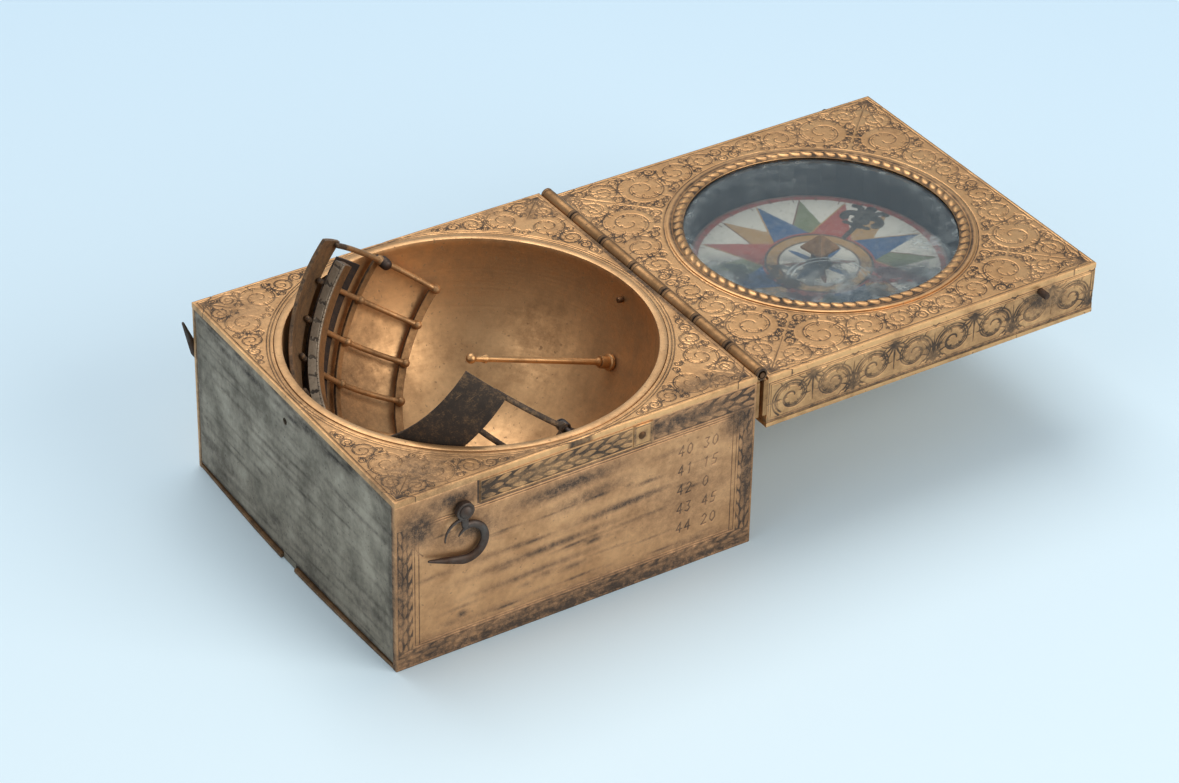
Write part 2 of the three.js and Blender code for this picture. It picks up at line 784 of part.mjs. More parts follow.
const compass = new THREE.Group();
compass.position.set(compassX, 0, 0);
compass.add(
  piece("compass_well", compassWell(), darkBrass),
  piece("compass_glass", compassGlass(), glass),
  piece("compass_bezel", compassBezel(), gilt),
  piece("needle_post", needlePost(), darkBrass),
);
const rose = new THREE.Group();
rose.rotation.z = radians(northAngle);
rose.add(
  piece("compass_card", compassCard(), paper),
  piece("compass_needle", compassNeedle(), iron),
  piece("needle_cap", needleCap(), gilt),
);
compass.add(rose);
lid.add(compass);

// One hook, its rivet and its stud: side is -1 on the front wall and 1 on the back wall
function addCatch(name, fromSide, side, angle) {
  const x = -halfLength + fromSide;
  const hook = piece(`${name}_hook`, catchHook(), iron);
  const outerFace = halfWidth + hookStandOff + (side > 0 ? hookThickness : 0);
  hook.position.set(x, side * outerFace, hookPivotZ);
  hook.rotation.y = radians(angle);
  const rivet = piece(`${name}_hook_rivet`, hookRivet(), iron);
  rivet.position.set(x, side * halfWidth, hookPivotZ);
  rivet.rotation.z = side > 0 ? Math.PI : 0;
  dial.add(hook, rivet);
  lid.add(piece(`lid_${name}_stud`, lidStud(x, side), darkBrass));
}
addCatch("front", hookFromSide, -1, 0);
addCatch("rear", rearHookFromSide, 1, rearHookAngle);

const cage = new THREE.Group();
cage.position.set(0, 0, bowlCentreZ);
cage.rotation.y = radians(cageLatitude);
cage.add(
  piece("tropic_rail", tropicRail(), gilt),
  piece("equator_rail", equatorRail(), gilt),
  piece("hour_band", hourBand(), darkBrass),
  piece("hour_scale", hourScale(), silvered),
  piece("north_band", northBand(), darkBrass),
);
for (let i = 0; i < rungCount; i += 1) {
  cage.add(piece(`hour_rung_${String(i + 1).padStart(2, "0")}`, rung(i), gilt));
}
dial.add(cage);

export default dial;
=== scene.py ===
"""Looks of a scaphe dial: engraved plates, a satin bowl, a bent-wire hour cage and a floating compass card.

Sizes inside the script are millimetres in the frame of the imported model; meshes are written in metres.
"""

import json
import math

import bpy
import numpy as np
from bpy.props import FloatProperty, FloatVectorProperty, IntProperty, PointerProperty
from mathutils import Matrix, Vector


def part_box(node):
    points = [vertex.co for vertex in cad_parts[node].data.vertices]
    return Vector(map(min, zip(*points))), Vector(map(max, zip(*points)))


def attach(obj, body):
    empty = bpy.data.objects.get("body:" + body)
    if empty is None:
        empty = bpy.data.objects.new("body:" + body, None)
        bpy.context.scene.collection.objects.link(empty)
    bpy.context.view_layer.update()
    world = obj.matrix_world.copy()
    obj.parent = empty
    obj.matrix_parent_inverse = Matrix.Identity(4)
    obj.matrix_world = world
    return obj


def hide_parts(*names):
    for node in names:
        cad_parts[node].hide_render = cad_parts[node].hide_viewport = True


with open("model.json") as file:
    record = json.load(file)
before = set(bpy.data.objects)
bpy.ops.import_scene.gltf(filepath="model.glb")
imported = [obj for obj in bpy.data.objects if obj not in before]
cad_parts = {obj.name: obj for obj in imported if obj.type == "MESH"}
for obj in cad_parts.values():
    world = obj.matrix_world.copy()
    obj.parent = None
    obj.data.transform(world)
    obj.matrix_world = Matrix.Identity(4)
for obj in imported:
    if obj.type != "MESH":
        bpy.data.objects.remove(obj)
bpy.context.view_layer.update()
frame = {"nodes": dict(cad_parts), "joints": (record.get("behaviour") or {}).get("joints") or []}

bl_info = {
    "name": "Scaphe Dial",
    "version": (1, 0, 0),
    "blender": (4, 5, 0),
    "location": "View3D > Sidebar > Scaphe Dial",
    "description": "Dresses a scaphe dial with engraved plates, an hour cage and a compass",
    "category": "Object",
}

MM = 0.001

MOST_QUADS = 92000
SHARP_ANGLE = math.radians(35.0)
WELD_STEP, WELD_SHIFT, WELD_KEY = 1e-4, 105.0, 2097152
LINE_RUN = 8
RUBBED_EDGE = 0.45
PLATE_END_STAIN = 0.95
VIEW_AWAY = (0.515, 0.857)


def box_mm(node):
    """Lowest and highest corner of a CAD node, in millimetres."""
    low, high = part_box(node)
    return np.array(low) / MM, np.array(high) / MM


BOWL_LOW, BOWL_HIGH = box_mm("scaphe_bowl")
PIVOT_LOW, PIVOT_HIGH = box_mm("pivot_pin_front")
BOWL_CENTRE = np.array([0.0, 0.0, (PIVOT_LOW[2] + PIVOT_HIGH[2]) / 2])
BOWL_INNER = abs(PIVOT_LOW[1]) + 0.1
LID_LOW, LID_HIGH = box_mm("lid_face")
COMPASS_CENTRE = np.array([(LID_LOW[0] + LID_HIGH[0]) / 2, 0.0, 0.0])


# Settings


def length_setting(name, description, value, least, most):
    """A length property in metres."""
    return FloatProperty(
        name=name, description=description, default=value, min=least, max=most, precision=6, unit="LENGTH"
    )


def count_setting(name, description, value, least, most):
    """A whole number property."""
    return IntProperty(name=name, description=description, default=value, min=least, max=most)


def colour_setting(name, description, value):
    """A colour property in linear light."""
    return FloatVectorProperty(
        name=name, description=description, default=value, size=4, min=0.0, max=1.0, subtype="COLOR"
    )


class DialSizes(bpy.types.PropertyGroup):
    """Sizes of the worked surfaces."""

    cut_depth: length_setting("Cut depth", "Depth of an engraved line", 0.00009, 0.00001, 0.0004)
    cut_width: length_setting("Cut width", "Width of an engraved line", 0.00026, 0.0001, 0.001)
    pitch: length_setting("Mesh pitch", "Least step between points of a face", 0.00011, 0.00008, 0.001)
    edge_round: length_setting("Edge round", "Radius of the worn edge of a plate", 0.00014, 0.00002, 0.0005)
    rope_lobes: count_setting("Rope lobes", "Number of lobes in the twisted ring", 74, 24, 200)
    rod_sides: count_setting("Rod sides", "Number of sides of a round rod", 20, 8, 48)


class DialColours(bpy.types.PropertyGroup):
    """Colours of the finishes."""

    gilt_bright: colour_setting("Bright gilding", "Gilding that is rubbed bright", (0.82, 0.47, 0.215, 1))
    gilt_dull: colour_setting("Dull gilding", "Gilding where it has gone dull", (0.44, 0.245, 0.11, 1))
    # This dark colour also serves as painted shade where a piece's stain field lays shade on it.
    dirt: colour_setting("Dirt", "Dirt in lines and stains", (0.026, 0.021, 0.019, 1))
    silver_bright: colour_setting("Bright silvering", "Silvering where it is clean", (0.42, 0.35, 0.265, 1))
    silver_dull: colour_setting("Dull silvering", "Silvering where it has gone dull", (0.2, 0.17, 0.13, 1))
    browned: colour_setting("Browned brass", "Brass that has gone brown", (0.16, 0.085, 0.045, 1))
    iron: colour_setting("Iron", "Dark iron", (0.075, 0.066, 0.06, 1))
    paper: colour_setting("Paper", "Ground of the compass card", (0.8, 0.77, 0.7, 1))
    # The floor's two colours paint its shading: lighter in front of the dial, darker behind it.
    floor_near: colour_setting("Near floor", "Floor in front of the dial", (0.79, 0.93, 0.99, 1))
    floor_far: colour_setting("Far floor", "Floor and backdrop behind the dial", (0.56, 0.75, 0.9, 1))


def engraving(context):
    """Mesh pitch, edge radius, cut depth and half the cut width, in millimetres."""
    sizes = context.scene.dial_sizes
    return sizes.pitch / MM, sizes.edge_round / MM, sizes.cut_depth / MM, sizes.cut_width / MM / 2


# Meshes


def weld(points, faces):
    """Merges points that fall together, makes a face that lost one corner smaller, and drops the rest."""
    steps = np.round((points + WELD_SHIFT) / WELD_STEP).astype(np.int64)
    keys = (steps[:, 0] * WELD_KEY + steps[:, 1]) * WELD_KEY + steps[:, 2]
    _, first, place = np.unique(keys, return_index=True, return_inverse=True)
    kept = []
    for group in faces:
        group = place[group]
        same = group == np.roll(group, -1, axis=1)
        lost = same.sum(axis=1)
        if group.shape[1] > 4:
            kept += [loop[~repeat][None] for loop, repeat in zip(group, same)]
            continue
        kept.append(group[lost == 0])
        if group.shape[1] == 4:
            kept.append(group[lost == 1][~same[lost == 1]].reshape(-1, 3))
    return points[first], [group for group in kept if len(group)], first


def join_shells(shells):
    """Several (points, faces) shells as one."""
    points, faces, offset = [], [], 0
    for shell_points, shell_faces in shells:
        points.append(shell_points)
        faces += [group + offset for group in shell_faces]
        offset += len(shell_points)
    return np.concatenate(points), faces


def put_piece(name, shell, body, finish, nodes=(), fields=None):
    """Writes a shell of points and faces as a mesh object that rides on a body and stands for CAD nodes."""
    points, faces, first = weld(*shell)
    corners = np.concatenate([group.ravel() for group in faces]).astype(np.int32)
    sizes = np.concatenate([np.full(len(group), group.shape[1]) for group in faces])
    starts = np.concatenate([[0], np.cumsum(sizes)[:-1]]).astype(np.int32)
    mesh = bpy.data.meshes.new(name)
    mesh.vertices.add(len(points))
    mesh.vertices.foreach_set("co", (points * MM).astype(np.float32).ravel())
    mesh.loops.add(len(corners))
    mesh.loops.foreach_set("vertex_index", corners)
    mesh.polygons.add(len(sizes))
    mesh.polygons.foreach_set("loop_start", starts)
    mesh.polygons.foreach_set("use_smooth", np.ones(len(sizes), bool))
    mesh.update(calc_edges=True)
    for field, values in (fields or {}).items():
        values = np.asarray(values, np.float32)[first]
        kind, part = ("FLOAT_COLOR", "color") if values.ndim == 2 else ("FLOAT", "value")
        mesh.attributes.new(field, kind, "POINT").data.foreach_set(part, values.ravel())
    mesh.materials.append(FINISH[finish])
    piece = bpy.data.objects.new(name, mesh)
    bpy.context.scene.collection.objects.link(piece)
    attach(piece, body)
    if nodes:
        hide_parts(*nodes)
    mesh.set_sharp_from_angle(angle=SHARP_ANGLE)


def grid_faces(rows, columns, wrap_rows=False, wrap_columns=False):
    """Four-sided faces of a grid of points; the normal is the row direction crossed with the column
    direction."""
    i = np.arange(rows if wrap_rows else rows - 1)
    j = np.arange(columns if wrap_columns else columns - 1)
    i, j = np.meshgrid(i, j, indexing="ij")
    next_i = (i + 1) % rows
    next_j = (j + 1) % columns
    quads = [i * columns + j, next_i * columns + j, next_i * columns + next_j, i * columns + next_j]
    return np.stack(quads, axis=-1).reshape(-1, 4)


def turned(profile, segments=96, centre=(0, 0, 0), axis=(0, 0, 1), closed=False):
    """A profile of (radius, height) corners carried round an axis: radius times the turning unit vector
    plus height times the axis. The outside of the profile goes up."""
    profile = np.asarray(profile, float)
    axis = np.asarray(axis, float) / np.linalg.norm(axis)
    side = np.cross(axis, [0, 1, 0] if abs(axis[1]) < 0.9 else [1, 0, 0])
    side /= np.linalg.norm(side)
    turn = np.linspace(0, 2 * np.pi, segments, endpoint=False)[:, None]
    around = np.cos(turn) * side + np.sin(turn) * np.cross(axis, side)
    points = profile[None, :, :1] * around[:, None] + profile[None, :, 1:] * axis
    points = points + np.asarray(centre, float)
    faces = grid_faces(segments, len(profile), True, closed)
    return points.reshape(-1, 3), [faces]


def swept(path, normal, wide, high, sides):
    """A rod along a flat path: each ring is wide times the path's normal by the cosine plus high times the
    inward side by the sine of the angle round the rod. Ends are rounded off to a point."""
    path = np.asarray(path, float)
    normal = np.asarray(normal, float) / np.linalg.norm(normal)
    wide = np.broadcast_to(np.asarray(wide, float), len(path)).copy()
    high = np.broadcast_to(np.asarray(high, float), len(path)).copy()
    along = np.gradient(path, axis=0)
    along /= np.linalg.norm(along, axis=1, keepdims=True)
    bend = np.linspace(0, np.pi / 2, 5)[:-1]
    cap = np.sin(bend)
    reach = 1 - np.cos(bend)
    start = path[0] + along[0] * (reach * high[0])[:, None] * 0.9
    end = path[-1] - along[-1] * (reach * high[-1])[:, None] * 0.9
    inner = slice(1, -1)
    path = np.concatenate([start, path[inner], end[::-1]])
    first, last = np.repeat(along[:1], len(cap), 0), np.repeat(along[-1:], len(cap), 0)
    along = np.concatenate([first, along[inner], last])
    wide = np.concatenate([wide[0] * cap, wide[inner], wide[-1] * cap[::-1]])
    high = np.concatenate([high[0] * cap, high[inner], high[-1] * cap[::-1]])
    side = np.cross(along, normal)
    turn = np.linspace(0, 2 * np.pi, sides, endpoint=False)
    ring = wide[:, None, None] * np.cos(turn)[None, :, None] * normal
    ring = ring + high[:, None, None] * np.sin(turn)[None, :, None] * side[:, None]
    points = path[:, None] + ring
    return points.reshape(-1, 3), [grid_faces(len(path), sides, False, True)[:, ::-1]]


def worn_steps(length, pitch, edge, thickness):
    """Places across a plate and how far each lies below its face: the foot of the wall, a rounded edge,
    then the flat face at an even pitch, and the same again at the far side."""
    count = max(2, int(round((length - 2 * edge) / pitch)) + 1)
    flat = np.linspace(edge, length - edge, count)
    bend = edge * (1 - math.sqrt(0.5))
    places = np.concatenate([[0, 0, bend], flat, [length - bend, length, length]])
    drops = np.concatenate([[thickness, edge, bend], np.zeros(count), [bend, edge, thickness]])
    return places, drops


def fine_pitch(area, least):
    """The least pitch, or more where a face of this area would have too many points."""
    return max(least, math.sqrt(area / MOST_QUADS))


def line_gap(place, points):
    """Distance from each place to each segment of a row of points, and the share of the way along it."""
    start, way = points[:-1], np.diff(points, axis=0)
    share = ((place - start) * way).sum(-1) / np.maximum((way**2).sum(-1), 1e-9)
    share = np.clip(share, 0, 1)
    return np.linalg.norm(place - start - share[..., None] * way, axis=-1), share


def fading(distance, reach):
    """One at no distance, falling evenly to nothing at the reach."""
    return np.clip(1 - distance / reach, 0, 1)


FACING = {
    "+z": ((1, 0, 0), (0, 1, 0)),
    "-z": ((1, 0, 0), (0, -1, 0)),
    "-y": ((1, 0, 0), (0, 0, 1)),
    "+y": ((-1, 0, 0), (0, 0, 1)),
    "-x": ((0, -1, 0), (0, 0, 1)),
    "+x": ((0, 1, 0), (0, 0, 1)),
}


class Face:
    """One worked face of a plate: places across it, the engraved cut and the stains on it."""

    def __init__(self, low, high, facing, pitch, edge):
        across, up = (np.array(way, float) for way in FACING[facing])
        out = np.cross(across, up)
        span = np.asarray(high) - np.asarray(low)
        self.thickness = abs(span @ out)
        self.width = abs(span @ across)
        self.height = abs(span @ up)
        middle = (np.asarray(low) + np.asarray(high)) / 2
        self.corner = middle + out * self.thickness / 2 - across * self.width / 2 - up * self.height / 2
        self.across, self.up, self.out = across, up, out
        self.u, self.drop_u = worn_steps(self.width, pitch, edge, self.thickness)
        self.v, self.drop_v = worn_steps(self.height, pitch, edge, self.thickness)
        shape = (len(self.u), len(self.v))
        self.cut = np.zeros(shape)
        self.stain = np.zeros(shape)
        self.bulge = np.zeros(shape)
        rim_u = np.minimum(self.u, self.width - self.u)[:, None]
        rim_v = np.minimum(self.v, self.height - self.v)[None, :]
        self.edge = fading(np.minimum(rim_u, rim_v), RUBBED_EDGE)

    def strokes(self, strokes, width):
        """Cuts strokes, each a row of points with its width factors."""
        for points, factors in strokes:
            self.line(points, width * np.asarray(factors))

    def line(self, points, width):
        """Cuts a groove along a row of points, a few segments at a time."""
        points = np.asarray(points, float)
        width = np.broadcast_to(np.asarray(width, float), len(points))
        for first in range(0, len(points) - 1, LINE_RUN):
            run = slice(first, first + LINE_RUN + 1)
            self.groove(points[run], width[run])

    def groove(self, points, width):
        """One groove: deepest on the line and gone at the half width, which may taper."""
        reach = width.max()
        low = points.min(0) - reach
        high = points.max(0) + reach
        i = slice(*np.searchsorted(self.u, [low[0], high[0]]))
        j = slice(*np.searchsorted(self.v, [low[1], high[1]]))
        place = np.stack(np.meshgrid(self.u[i], self.v[j], indexing="ij"), -1)[:, :, None]
        if place.size == 0:
            return
        gap, share = line_gap(place, points)
        half = np.maximum(width[:-1] + share * np.diff(width), 1e-3)
        groove = np.clip(1 - (gap / half) ** 2, 0, 1).max(-1)
        self.cut[i, j] = np.maximum(self.cut[i, j], groove)

    def blot(self, u, v, long, short, strength, turn=0.0):
        """Adds a soft oval stain that fades as the bell curve of the distance from its middle."""
        du = self.u[:, None] - u
        dv = self.v[None, :] - v
        along = (du * math.cos(turn) + dv * math.sin(turn)) / long
        beside = (dv * math.cos(turn) - du * math.sin(turn)) / short
        self.stain = np.maximum(self.stain, strength * np.exp(-(along**2) - beside**2))

    def blots(self, stains):
        """Adds several stains, each a row of what a blot is given."""
        for stain in stains:
            self.blot(*stain)

    def points(self, depth):
        """Corner plus the place across and up the face, less the edge's drop and the cut times its depth,
        plus the bulge."""
        drop = np.maximum(self.drop_u[:, None], self.drop_v[None, :]) + depth * self.cut - self.bulge
        flat = self.corner + self.u[:, None, None] * self.across + self.v[None, :, None] * self.up
        return (flat - drop[..., None] * self.out).reshape(-1, 3)

    def rim(self):
        """Grid numbers round the outside of the face, anticlockwise."""
        rows, columns = self.cut.shape
        number = np.arange(rows * columns).reshape(rows, columns)
        return np.concatenate([number[:-1, 0], number[-1, :-1], number[:0:-1, -1], number[0, :0:-1]])

    def fields(self, shell):
        """Values that the finishes read, with noughts for the shell's points that follow the grid."""
        after = len(shell[0]) - self.cut.size
        values = {"groove": self.cut, "stain": self.stain, "edge": self.edge}
        return {name: np.pad(value.ravel(), (0, after)) for name, value in values.items()}


def plate_shell(face, depth=0.0):
    """A closed plate: the worked face with its rounded edges and walls, and one flat back."""
    rows, columns = face.cut.shape
    return face.points(depth), [grid_faces(rows, columns), face.rim()[::-1][None]]


def holed_shell(face, depth, centre, radius):
    """A closed plate with a round hole: grid faces outside the circle are kept, their inner corners are
    moved out or in to the circle, and a wall and a back close it."""
    rows, columns = face.cut.shape
    points = face.points(depth)
    flat_u = np.repeat(face.u, columns) - centre[0]
    flat_v = np.tile(face.v, rows) - centre[1]
    distance = np.hypot(flat_u, flat_v)
    quads = grid_faces(rows, columns)
    kept = (distance[quads] > radius).all(axis=1)
    inner = np.intersect1d(np.unique(quads[kept]), np.unique(quads[~kept]))
    turn = np.arctan2(flat_v[inner], flat_u[inner])
    inner = inner[np.argsort(turn)]
    turn = np.sort(turn)
    ring_u = centre[0] + radius * np.cos(turn)
    ring_v = centre[1] + radius * np.sin(turn)
    ring = face.corner + ring_u[:, None] * face.across + ring_v[:, None] * face.up
    points[inner] = ring
    foot = ring - face.thickness * face.out
    foot_numbers = len(points) + np.arange(len(foot))
    wall = np.stack([inner, np.roll(inner, -1), np.roll(foot_numbers, -1), foot_numbers], axis=1)
    rim = face.rim()
    rim_turn = np.arctan2(flat_v[rim], flat_u[rim])
    back = zipped(rim, rim_turn, foot_numbers, turn)[:, ::-1]
    return np.concatenate([points, foot]), [quads[kept], wall, back]


def zipped(outer, outer_turn, inner, inner_turn):
    """Triangles between two rings in order of angle: each point makes one with the last of either."""
    order = np.argsort(outer_turn, kind="stable")
    outer = outer[order]
    turn = np.concatenate([outer_turn[order], inner_turn])
    from_outer = np.concatenate([np.ones(len(outer), bool), np.zeros(len(inner), bool)])
    events = np.argsort(turn, kind="stable")
    from_outer = from_outer[events]
    a = np.cumsum(from_outer) - 1
    b = np.cumsum(~from_outer) - 1
    last = np.where(from_outer, outer[a - 1], inner[b - 1])
    return np.stack([
        np.where(from_outer, last, outer[a]),
        np.where(from_outer, outer[a], inner[b]),
        np.where(from_outer, inner[b], last),
    ], axis=1)


# Ornament


def arc_line(centre, radius, start, end, count=24):
    """Points on an arc, angles in degrees."""
    turn = np.radians(np.linspace(start, end, count))
    return np.asarray(centre) + np.stack([radius * np.cos(turn), radius * np.sin(turn)], -1)


def leaf_line(start, way, length, bend, count=10):
    """A curved stroke: it leaves the start along an angle and turns evenly by the bend over its length."""
    turn = np.radians(way + bend * np.linspace(0, 1, count))
    steps = np.stack([np.cos(turn), np.sin(turn)], -1) * length / count
    return np.asarray(start) + np.concatenate([[[0, 0]], np.cumsum(steps, axis=0)])


def spray_strokes(foot, way, length, count, spread=75.0):
    """A spray of tapered leaves from one foot: the middle one is longest, the others bend aside."""
    taper = np.linspace(1.8, 0.35, 11)
    strokes = []
    for share in np.linspace(-1, 1, count):
        leaf = length * (1 - 0.4 * abs(share))
        strokes.append((leaf_line(foot, way + 0.45 * spread * share, leaf, spread * share), taper))
    return strokes


def scroll_strokes(centre, radius, start, hand, turns=1.7):
    """Strokes of one scroll: a spiral from its rim to its eye, a fine line inside its first turn and
    leaves that curl off both sides of it. Each is (points, width factors). The spiral's radius is the
    rim's less 0.86 of it by the power 1.15 of the share of the way in."""
    count = int(18 + 20 * turns)
    share = np.linspace(0, 1, count)
    turn = np.radians(start + 360 * turns * hand * share)
    around = np.stack([np.cos(turn), np.sin(turn)], -1)
    reach = radius * (1 - 0.86 * share**1.15)
    spiral = np.asarray(centre) + reach[:, None] * around
    strokes = [(spiral, np.linspace(1.15, 0.7, count))]
    if radius < 0.8:
        return strokes
    band = (share > 0.03) & (share < 0.62)
    inner = np.asarray(centre) + (reach - 0.1 * radius)[:, None] * around
    strokes.append((inner[band], 0.5))
    taper = np.linspace(1.1, 0.3, 11)
    for place in np.linspace(0.1, 0.72, int(np.clip(radius * 2.3, 2, 8))):
        number = int(place * (count - 1))
        way = math.degrees(turn[number])
        size = reach[number] * 0.5
        strokes.append((leaf_line(spiral[number], way + 122 * hand, size, 120 * hand), taper))
        strokes.append((leaf_line(spiral[number], way + 150 * hand, size * 0.62, 70 * hand), taper * 0.8))
        if place < 0.45:
            strokes.append((leaf_line(spiral[number], way + 48 * hand, size * 0.7, -95 * hand), taper))
    return strokes


def packed_circles(free, xs, ys, largest, smallest, most):
    """Circles that fill a region: the widest place in a grid of free distances, again and again."""
    x, y = np.meshgrid(xs, ys, indexing="ij")
    circles = []
    while len(circles) < most:
        i, j = np.unravel_index(np.argmax(free), free.shape)
        radius = min(free[i, j], largest)
        if radius < smallest:
            break
        circles.append((xs[i], ys[j], radius))
        free = np.minimum(free, np.hypot(x - xs[i], y - ys[j]) - radius)
    return circles


def spandrel_strokes(half_length, half_width, hole, margin, largest, smallest, most):
    """Strokes of one corner between a round hole and the plate's edges, laid out from the corner: scrolls
    packed in the half below the diagonal, each starting where it meets an earlier one and turning the
    other way, with sprays of leaves where they meet; the same mirrored above it; and a spray along the
    diagonal."""
    xs = np.arange(0, half_length, 0.1)
    ys = np.arange(0, half_width, 0.1)
    x, y = np.meshgrid(xs, ys, indexing="ij")
    ring = np.hypot(x - half_length, y - half_width) - hole
    diagonal = (x / half_length - y / half_width) * half_width / math.sqrt(2) - 0.15
    free = np.minimum.reduce([x - margin, y - margin, ring, diagonal, half_length - x])
    circles = packed_circles(free, xs, ys, largest, smallest, most)
    strokes, hands = [], []
    for number, (cx, cy, radius) in enumerate(circles):
        foot, hand = (0, 0), 1
        if number:
            gaps = [math.hypot(cx - x, cy - y) - r for x, y, r in circles[:number]]
            parent = int(np.argmin(gaps))
            foot, hand = circles[parent][:2], -hands[parent]
        hands.append(hand)
        start = math.degrees(math.atan2(foot[1] - cy, foot[0] - cx))
        strokes += scroll_strokes((cx, cy), radius, start, hand)
    for number, first in enumerate(circles):
        for second in circles[number + 1:]:
            span = np.subtract(second[:2], first[:2])
            distance = np.hypot(*span)
            if distance > first[2] + second[2] + 0.3:
                continue
            meeting = np.array(first[:2]) + span * first[2] / distance
            way = math.degrees(math.atan2(span[1], span[0])) + 90
            length = 0.3 + 0.62 * min(first[2], second[2])
            strokes += spray_strokes(meeting, way, length, 4) + spray_strokes(meeting, way + 180, length, 4)
    swap = np.array([half_length / half_width, half_width / half_length])
    strokes += [(points[:, ::-1] * swap, width) for points, width in strokes]
    reach = math.hypot(half_length, half_width) - hole - 1.6 * margin
    way = math.degrees(math.atan2(half_width, half_length))
    foot = np.array([margin, margin]) * 1.3
    return strokes + spray_strokes(foot, way, reach * 0.6, 7, 85)


def cut_corners(face, strokes, width):
    """Cuts one corner's strokes in all four corners of a face, by mirroring them."""
    size = np.array([face.width, face.height])
    for flip in np.array([[0, 0], [1, 0], [0, 1], [1, 1]]):
        face.strokes([(np.where(flip, size - points, points), share) for points, share in strokes], width)


def paired_scrolls(face, count, margin, width):
    """Doubled scrolls along a strip, drawn out lengthwise and turned to each other in pairs. Where two
    meet, a spray of leaves goes up from the foot of the strip or down from its head, and a small scroll
    faces it."""
    step = (face.width - 2 * margin) / count
    radius = 1.14 * (face.height / 2 - margin)
    stretch = np.array([min(1.3, 0.5 * step / radius), 1.0])
    for number in range(count):
        hand = 1 if number % 2 else -1
        centre = np.array([margin + (number + 0.5) * step, 0.46 * face.height])
        for size in (1.0, 0.84):
            scroll = scroll_strokes((0, 0), radius * size, 270 + 38 * hand, hand, 1.6)
            face.strokes([(points * stretch + centre, share) for points, share in scroll], width)
        side = margin + (number + 1) * step
        level = face.height - margin if hand < 0 else margin
        for reach, leaves in ((1.5, 7), (0.8, 5)):
            face.strokes(spray_strokes((side, level), 90 * hand, radius * reach, leaves, 95), width * 1.1)
        face.blot(side, level, 1.8, 2.4, 0.75)
        across = face.height - level
        face.strokes(scroll_strokes((side, across + 0.95 * hand), 0.9, 90 * hand, -hand, 1.2), width * 0.8)


def leaf_chain(face, low, high, pitch, along="u", strength=1.0):
    """A garland between two corners of a strip: three rows of pointed leaves stand up from a ground that
    is cut away. A leaf lies where its slanted height is less than 0.72 less 3.3 times the square of the
    way along it."""
    size = np.subtract(high, low)
    u = (face.u - low[0])[:, None]
    v = (face.v - low[1])[None, :]
    inside = (u >= 0) & (u <= size[0]) & (v >= 0) & (v <= size[1])
    if along == "v":
        u, v, size = v, u, size[::-1]
    across = 2 * v / size[1] - 1
    ground = np.ones(inside.shape)
    rib = np.zeros(inside.shape)
    for row, shift in ((0.66, 0.0), (0.0, 0.5), (-0.66, 0.0)):
        place = u / pitch + shift
        local = place % 1.0 - 0.5
        unlike = 0.16 * np.sin(np.floor(place) * 12.9 + row * 7.0)
        height = (across - row + 0.3 * unlike) / (0.31 + 0.1 * unlike) - 0.9 * local * (np.sign(row) + 0.3)
        leaf = np.abs(height) - (0.72 - 3.3 * local**2)
        ground = np.minimum(ground, np.clip(0.6 + leaf * 3.0, 0, 1))
        rib = np.maximum(rib, 0.6 * fading(np.abs(height), 0.2) * (np.abs(local) < 0.3))
    cut = strength * np.maximum(ground, rib)
    face.cut = np.where(inside, np.maximum(face.cut, cut), face.cut)


def border(face, inset, width, low=None, high=None):
    """A ruled line all round a field."""
    low = np.array([inset, inset]) if low is None else np.asarray(low, float)
    high = np.array([face.width, face.height]) - inset if high is None else np.asarray(high, float)
    corners = np.array([low, [high[0], low[1]], high, [low[0], high[1]], low])
    for start, end in zip(corners[:-1], corners[1:]):
        face.line([start, end], width)


FIGURES = {
    "0": [(0.5, 1), (0.15, 0.75), (0.1, 0.3), (0.5, 0), (0.88, 0.3), (0.85, 0.75), (0.5, 1)],
    "1": [(0.3, 0.8), (0.55, 1), (0.52, 0)],
    "2": [(0.12, 0.78), (0.45, 1), (0.85, 0.75), (0.6, 0.4), (0.1, 0), (0.92, 0.04)],
    "3": [(0.15, 0.95), (0.8, 0.95), (0.45, 0.58), (0.85, 0.3), (0.5, 0), (0.1, 0.14)],
    "4": [(0.7, 0), (0.66, 1), (0.08, 0.3), (0.95, 0.32)],
    "5": [(0.85, 1), (0.25, 0.97), (0.2, 0.58), (0.8, 0.5), (0.7, 0.08), (0.12, 0.05)],
    "6": [(0.8, 0.95), (0.3, 0.7), (0.12, 0.25), (0.5, 0), (0.85, 0.25), (0.55, 0.52), (0.18, 0.35)],
    "7": [(0.1, 0.97), (0.9, 1), (0.4, 0)],
    "8": [(0.5, 0.52), (0.18, 0.78), (0.5, 1), (0.82, 0.78), (0.5, 0.52), (0.12, 0.25), (0.5, 0),
          (0.88, 0.25), (0.5, 0.52)],
    "9": [(0.82, 0.68), (0.45, 0.48), (0.15, 0.75), (0.5, 1), (0.85, 0.75), (0.75, 0.25), (0.35, 0)],
}
FIGURE_WIDTH, FIGURE_STEP, FIGURE_SLOPE = 0.58, 0.82, 0.12


def figure_strokes(text, place, height):
    """Strokes of plain figures, each in a box as wide as a share of its height, leaning a little; a blank
    leaves its place free."""
    strokes = []
    for number, sign in enumerate(text):
        if sign in FIGURES:
            shape = np.array(FIGURES[sign]) * [FIGURE_WIDTH * height, height]
            shape[:, 0] += number * FIGURE_STEP * height + FIGURE_SLOPE * shape[:, 1]
            strokes.append(shape + np.asarray(place))
    return strokes


# Finishes


